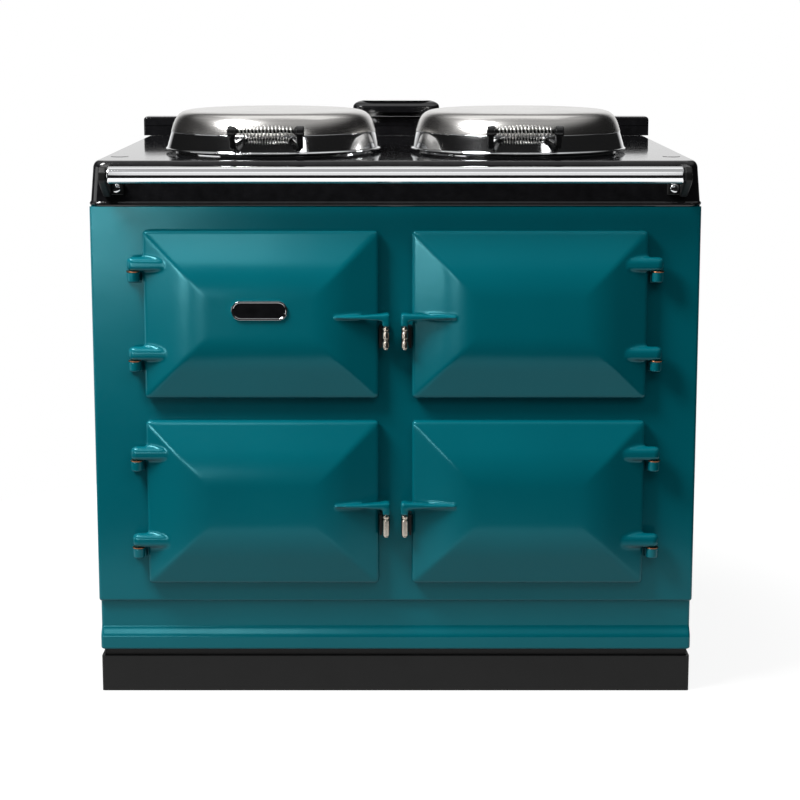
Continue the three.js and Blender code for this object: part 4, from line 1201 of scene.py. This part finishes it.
def makeHotplate(name):
    hot = {"radius": 160, "flange": 165, "top": 8, "rise": 0.3, "depth": 28}
    hot |= {"trimIn": 165.4, "trimOut": 169.4}
    centre = lidPlace(name)
    top = hot["top"]
    edge = arc((hot["flange"] - 2, top - 2), 2, 0, 90, 5)
    profile = [
        (0, -hot["depth"]),
        (hot["radius"], -hot["depth"]),
        (hot["radius"], hot["rise"]),
        (hot["flange"], hot["rise"]),
        *edge,
        (hot["flange"] - 4, top - 0.2),
        (hot["flange"] - 5, top - 1),
        (hot["flange"] - 7, top - 1),
        (hot["flange"] - 8, top),
        (0, top),
    ]
    plate = turned(name + "Hotplate", profile, centre, "Z", 128)
    iron = makeFacedIron("faced cast iron " + name, centre)
    place(polish(plate, 30), "cooker_body", iron, "cast_iron", name + "_plate")
    middle = (hot["trimIn"] + hot["trimOut"]) / 2
    reach = (hot["trimOut"] - hot["trimIn"]) / 2
    ring = [(hot["trimIn"], 0.2), (hot["trimOut"], 0.2)]
    ring += [(across, up + 0.8) for across, up in arc((middle, 0.2), reach, 0, 180, 8)]
    trim = turned(name + "HotplateTrim", [*ring, ring[0]], centre, "Z", 128)
    place(polish(trim), "cooker_body", chrome, "polished_steel")


for lidName in lidNames:
    makeLid(lidName)
    makeHotplate(lidName)
print("lids and hotplates made")


# Ovens and controls.
def makeRack(name):
    rack = {"rod": 3, "bar": 2.5, "pitch": 24}
    low, high = boxOf(name + "_rack")
    z = (low.z + high.z) / 2
    lines = [low.y + rack["rod"], (low.y + high.y) / 2, high.y - rack["rod"]]
    parts = [addBar("rod", [low.x, y, z], [high.x, y, z], rack["rod"], 16) for y in lines]
    gaps = round((high.x - low.x) / rack["pitch"])
    for number in range(gaps + 1):
        x = low.x + rack["bar"] + (high.x - low.x - 2 * rack["bar"]) * number / gaps
        bar = addBar("bar", [x, lines[0], z], [x, lines[-1], z], rack["bar"], 12)
        parts.append(bar)
    for part in parts:
        soften(part, 0.6, 2, 50)
    piece = joined(name + "Rack", *parts)
    place(polish(piece, 50), name + "_rack", chrome, "polished_steel", name + "_rack")


def makeKnob(name):
    knob = {"spindle": 4, "skirt": 5, "round": 2, "rib": 3, "ribOut": 3, "ribEnd": 6, "ticks": 11, "dial": 33}
    low, high = boxOf(name)
    x, z = (low.x + high.x) / 2, (low.z + high.z) / 2
    radius = (high.x - low.x) / 2
    seat = boxOf("control_box")[0].y + 84  # the control unit's face
    height = seat - low.y - knob["ribOut"]
    curve = arc((radius - 5.5 - knob["round"], height - knob["round"]), knob["round"], 0, 90, 5)
    profile = [
        (0, seat - high.y),
        (knob["spindle"], seat - high.y),
        (knob["spindle"], 0.4),
        (radius - 0.8, 0.4),
        (radius, 1.2),
        (radius, knob["skirt"]),
        (radius - 4, 8),
        *curve,
        (0, height),
    ]
    cap = turned("cap", profile, [x, seat, z], "Y", 64)
    ribReach = radius - knob["ribEnd"]
    rib = addBlock("rib", [x - knob["rib"], low.y, z - ribReach], [x + knob["rib"], seat - 8, z + ribReach])
    soften(rib, 1.6, 4)
    piece = joined(name.replace("_knob", "Knob"), cap, rib)
    place(polish(piece), name, mouldedBlack, "black_plastic", name)
    mark = addBlock("mark", [x - 0.8, low.y - 0.2, z + 6], [x + 0.8, low.y + 0.4, z + radius - 8])
    soften(mark, 0.2, 2)
    mark.name = name.replace("_knob", "Mark")
    place(polish(mark), name, chrome)
    dial = {"thick": 0.8, "hole": 5, "tick": 5, "tickWide": 1.4, "sweep": 270}
    plate = turned(
        name.replace("_knob", "Dial"),
        [
            (dial["hole"], 0.05),
            (knob["dial"], 0.05),
            (knob["dial"], dial["thick"] - 0.5),
            (knob["dial"] - 0.6, dial["thick"] - 0.45),
            (dial["hole"], dial["thick"] - 0.45),
            (dial["hole"], 0.05),
        ],
        [x, seat, z],
        "Y",
        64,
    )
    place(polish(plate), "cooker_body", pressedAluminium, "aluminium")
    ticks = []
    for number in range(knob["ticks"]):
        angle = math.radians(90 + dial["sweep"] / 2 - dial["sweep"] * number / (knob["ticks"] - 1))
        reach = knob["dial"] - 5
        tick = addBlock(
            "tick",
            [reach - dial["tick"] / 2, seat - 0.8, -dial["tickWide"] / 2],
            [reach + dial["tick"] / 2, seat - 0.2, dial["tickWide"] / 2],
        )
        tick.rotation_euler = (0, -angle, 0)
        settle(tick)
        tick.location = metres(x, 0, z)
        ticks.append(settle(tick))
    piece = joined(name.replace("_knob", "Ticks"), *ticks)
    place(polish(piece), "cooker_body", mouldedBlack, "black_plastic")


for oven in ("roasting", "baking"):
    makeRack(oven)
for oven in ("roasting", "baking", "simmering"):
    coat(oven + "_oven", ovenEnamel)
for knobName in ("temperature_knob", "timer_knob"):
    makeKnob(knobName)
coat("control_box", galvanised)
print("ovens and controls made")


# Studio.
def makeFloor():  # pale under the cooker, fading to the white round it before its edges
    floor = {"reach": 1300, "colour": "#6a6a6a", "worn": "#727272", "glow": 0.88, "clear": 600, "fade": 600}
    bpy.ops.object.select_all(action="DESELECT")
    bpy.ops.mesh.primitive_circle_add(vertices=64, radius=floor["reach"] * millimetre, fill_type="NGON")
    piece = bpy.context.object
    piece.name = "floor"
    settle(piece)
    material, tree, where = startMaterial("white studio floor")
    grain = addNode(tree, "ShaderNodeTexNoise", {"Vector": where, "Scale": perLength(300), "Detail": 2})
    pair = {"Factor": grain, 6: colour(floor["colour"]), 7: colour(floor["worn"])}
    tint = addNode(tree, "ShaderNodeMix", pair, data_type="RGBA")
    shader = addNode(tree, "ShaderNodeBsdfDiffuse", {"Color": tint.outputs[2]})
    away = addNode(tree, "ShaderNodeVectorMath", {0: where}, operation="LENGTH").outputs["Value"]
    near, far = metres(floor["clear"], floor["clear"] + floor["fade"])
    rising = {"Value": away, "From Min": near, "From Max": far, "To Min": floor["glow"], "To Max": 1}
    fade = addNode(tree, "ShaderNodeMapRange", rising, interpolation_type="SMOOTHSTEP")
    ray = addNode(tree, "ShaderNodeLightPath").outputs
    either = {0: ray["Is Glossy Ray"], 1: ray["Is Transmission Ray"]}
    glossy = addNode(tree, "ShaderNodeMath", either, operation="MAXIMUM")
    shown = addNode(tree, "ShaderNodeMath", {0: ray["Is Camera Ray"], 1: glossy}, operation="MAXIMUM")
    lift = addNode(tree, "ShaderNodeMath", {0: shown, 1: fade}, operation="MULTIPLY")
    glow = addNode(tree, "ShaderNodeEmission", {"Color": colour("#ffffff"), "Strength": lift})
    whole = addNode(tree, "ShaderNodeAddShader", {0: shader, 1: glow})
    addNode(tree, "ShaderNodeOutputMaterial", {"Surface": whole})
    piece.data.materials.append(material)


def makeWorld():  # white to the camera; gloss sees white behind, grey overhead and a dark room in front
    sky = {"overhead": 0.52, "under": 0.02, "behind": 1.0, "below": 0.55, "above": 0.5, "front": 0.012}
    spans = {  # the axis, where it starts and ends, and what it goes from and to
        "backdrop": ("Y", 0.82, 0.94, 0, 1),
        "upward": ("Z", 0.5, 0.75, sky["front"], sky["above"]),
        "rear": ("Y", 0.1, 0.5, 0, sky["below"]),
        "ground": ("Z", -0.02, -0.12, 0, 1),
        "spread": ("Z", -0.2, 0.9, sky["under"], sky["overhead"]),
    }
    world = bpy.data.worlds.new("studio")
    bpy.context.scene.world = world
    world.use_nodes = True
    tree = world.node_tree
    tree.nodes.clear()
    where = addNode(tree, "ShaderNodeTexCoord").outputs["Generated"]
    aim = addNode(tree, "ShaderNodeSeparateXYZ", {"Vector": where}).outputs
    part = {}
    for name, (axis, start, end, low, high) in spans.items():
        span = {"Value": aim[axis], "From Min": start, "From Max": end, "To Min": low, "To Max": high}
        part[name] = addNode(tree, "ShaderNodeMapRange", span)
    low = addNode(tree, "ShaderNodeMath", {0: part["rear"], 1: part["ground"]}, operation="MULTIPLY")
    white = addNode(tree, "ShaderNodeMath", {0: part["backdrop"], 1: low}, operation="MAXIMUM")
    shown = {"Factor": white, 2: part["upward"], 3: sky["behind"]}
    seen = addNode(tree, "ShaderNodeMix", shown, data_type="FLOAT")
    ray = addNode(tree, "ShaderNodeLightPath").outputs
    either = {0: ray["Is Glossy Ray"], 1: ray["Is Transmission Ray"]}
    glossy = addNode(tree, "ShaderNodeMath", either, operation="MAXIMUM")
    soft = addNode(tree, "ShaderNodeMix", {"Factor": glossy, 2: part["spread"], 3: seen}, data_type="FLOAT")
    straight = {"Factor": ray["Is Camera Ray"], 2: soft, 3: 1.0}
    level = addNode(tree, "ShaderNodeMix", straight, data_type="FLOAT")
    glow = addNode(tree, "ShaderNodeBackground", {"Color": colour("#ffffff"), "Strength": level})
    addNode(tree, "ShaderNodeOutputWorld", {"Surface": glow})


def addSoftbox(name, spot, aim, size, power, only=None, gloss=True, diffuse=True):
    light = bpy.data.lights.new(name, "AREA")
    light.shape = "RECTANGLE"
    light.size, light.size_y = metres(*size)
    light.energy = power
    lamp = bpy.data.objects.new(name, light)
    bpy.context.scene.collection.objects.link(lamp)
    lamp.location = metres(*spot)
    lamp.rotation_euler = (Vector(aim) - Vector(spot)).to_track_quat("-Z", "Y").to_euler()
    lamp.visible_camera = False
    lamp.visible_glossy = gloss
    lamp.visible_diffuse = diffuse
    if only:
        lamp.light_linking.receiver_collection = only


def makeLamps():
    addSoftbox("keyLamp", [-1350, -1100, 2500], [0, -300, 600], [900, 900], 80)
    addSoftbox("sideLamp", [-2600, -700, 700], [-400, -300, 600], [1400, 1400], 10)
    addSoftbox("topLamp", [0, 500, 3000], [0, 0, 900], [2600, 1400], 8)
    addSoftbox("fillLamp", [500, -2600, 2300], [0, -300, 600], [1600, 900], 9, gloss=False)
    addSoftbox("glintLamp", [1500, -2500, 2400], [0, -100, 900], [450, 350], 1.6)
    # White panels that only some pieces show, the others being shaded from them by flags.
    rails = bpy.data.collections.new("railOnly")
    rails.objects.link(handrail)
    addSoftbox("railUpperPanel", [0, -2800, 2000], [0, -358, 870], [1800, 2200], 12, rails)
    addSoftbox("railLowerPanel", [0, -820, 180], [0, -358, 870], [1800, 600], 4.4, rails)
    doors = bpy.data.collections.new("doorsOnly")
    for piece in bpy.data.objects:
        if piece.type == "MESH" and {tealEnamel, nickel} & set(piece.data.materials):
            doors.objects.link(piece)
    addSoftbox("leftPanel", [-2300, -2600, 900], [0, -300, 600], [500, 1200], 7, doors, diffuse=False)
    addSoftbox("cornerPanel", [-1050, -3350, 500], [-480, -350, 700], [560, 420], 7, doors, diffuse=False)
    addSoftbox("slopePanel", [-800, -3000, 2400], [-300, -400, 780], [900, 600], 9, doors, diffuse=False)
    addSoftbox("flankPanel", [-1750, -2800, 620], [60, -400, 700], [450, 500], 14, doors, diffuse=False)


def makeCamera():  # close to the photograph's: square on, a little above the hob
    view = {"away": 2976, "height": 1112.9, "aside": 7.4, "pitch": 8.725, "lens": 83.47, "shift": -0.12}
    eye = bpy.data.objects.new("camera", bpy.data.cameras.new("camera"))
    bpy.context.scene.collection.objects.link(eye)
    eye.location = metres(view["aside"], face - view["away"], view["height"])
    eye.rotation_euler = (math.radians(90 - view["pitch"]), 0, 0)
    eye.data.lens = view["lens"]
    eye.data.shift_y = view["shift"]
    eye.data.clip_end = 60
    bpy.context.scene.camera = eye


makeFloor()
makeWorld()
makeLamps()
makeCamera()
bpy.context.scene.view_settings.view_transform = "Standard"
print("studio made")
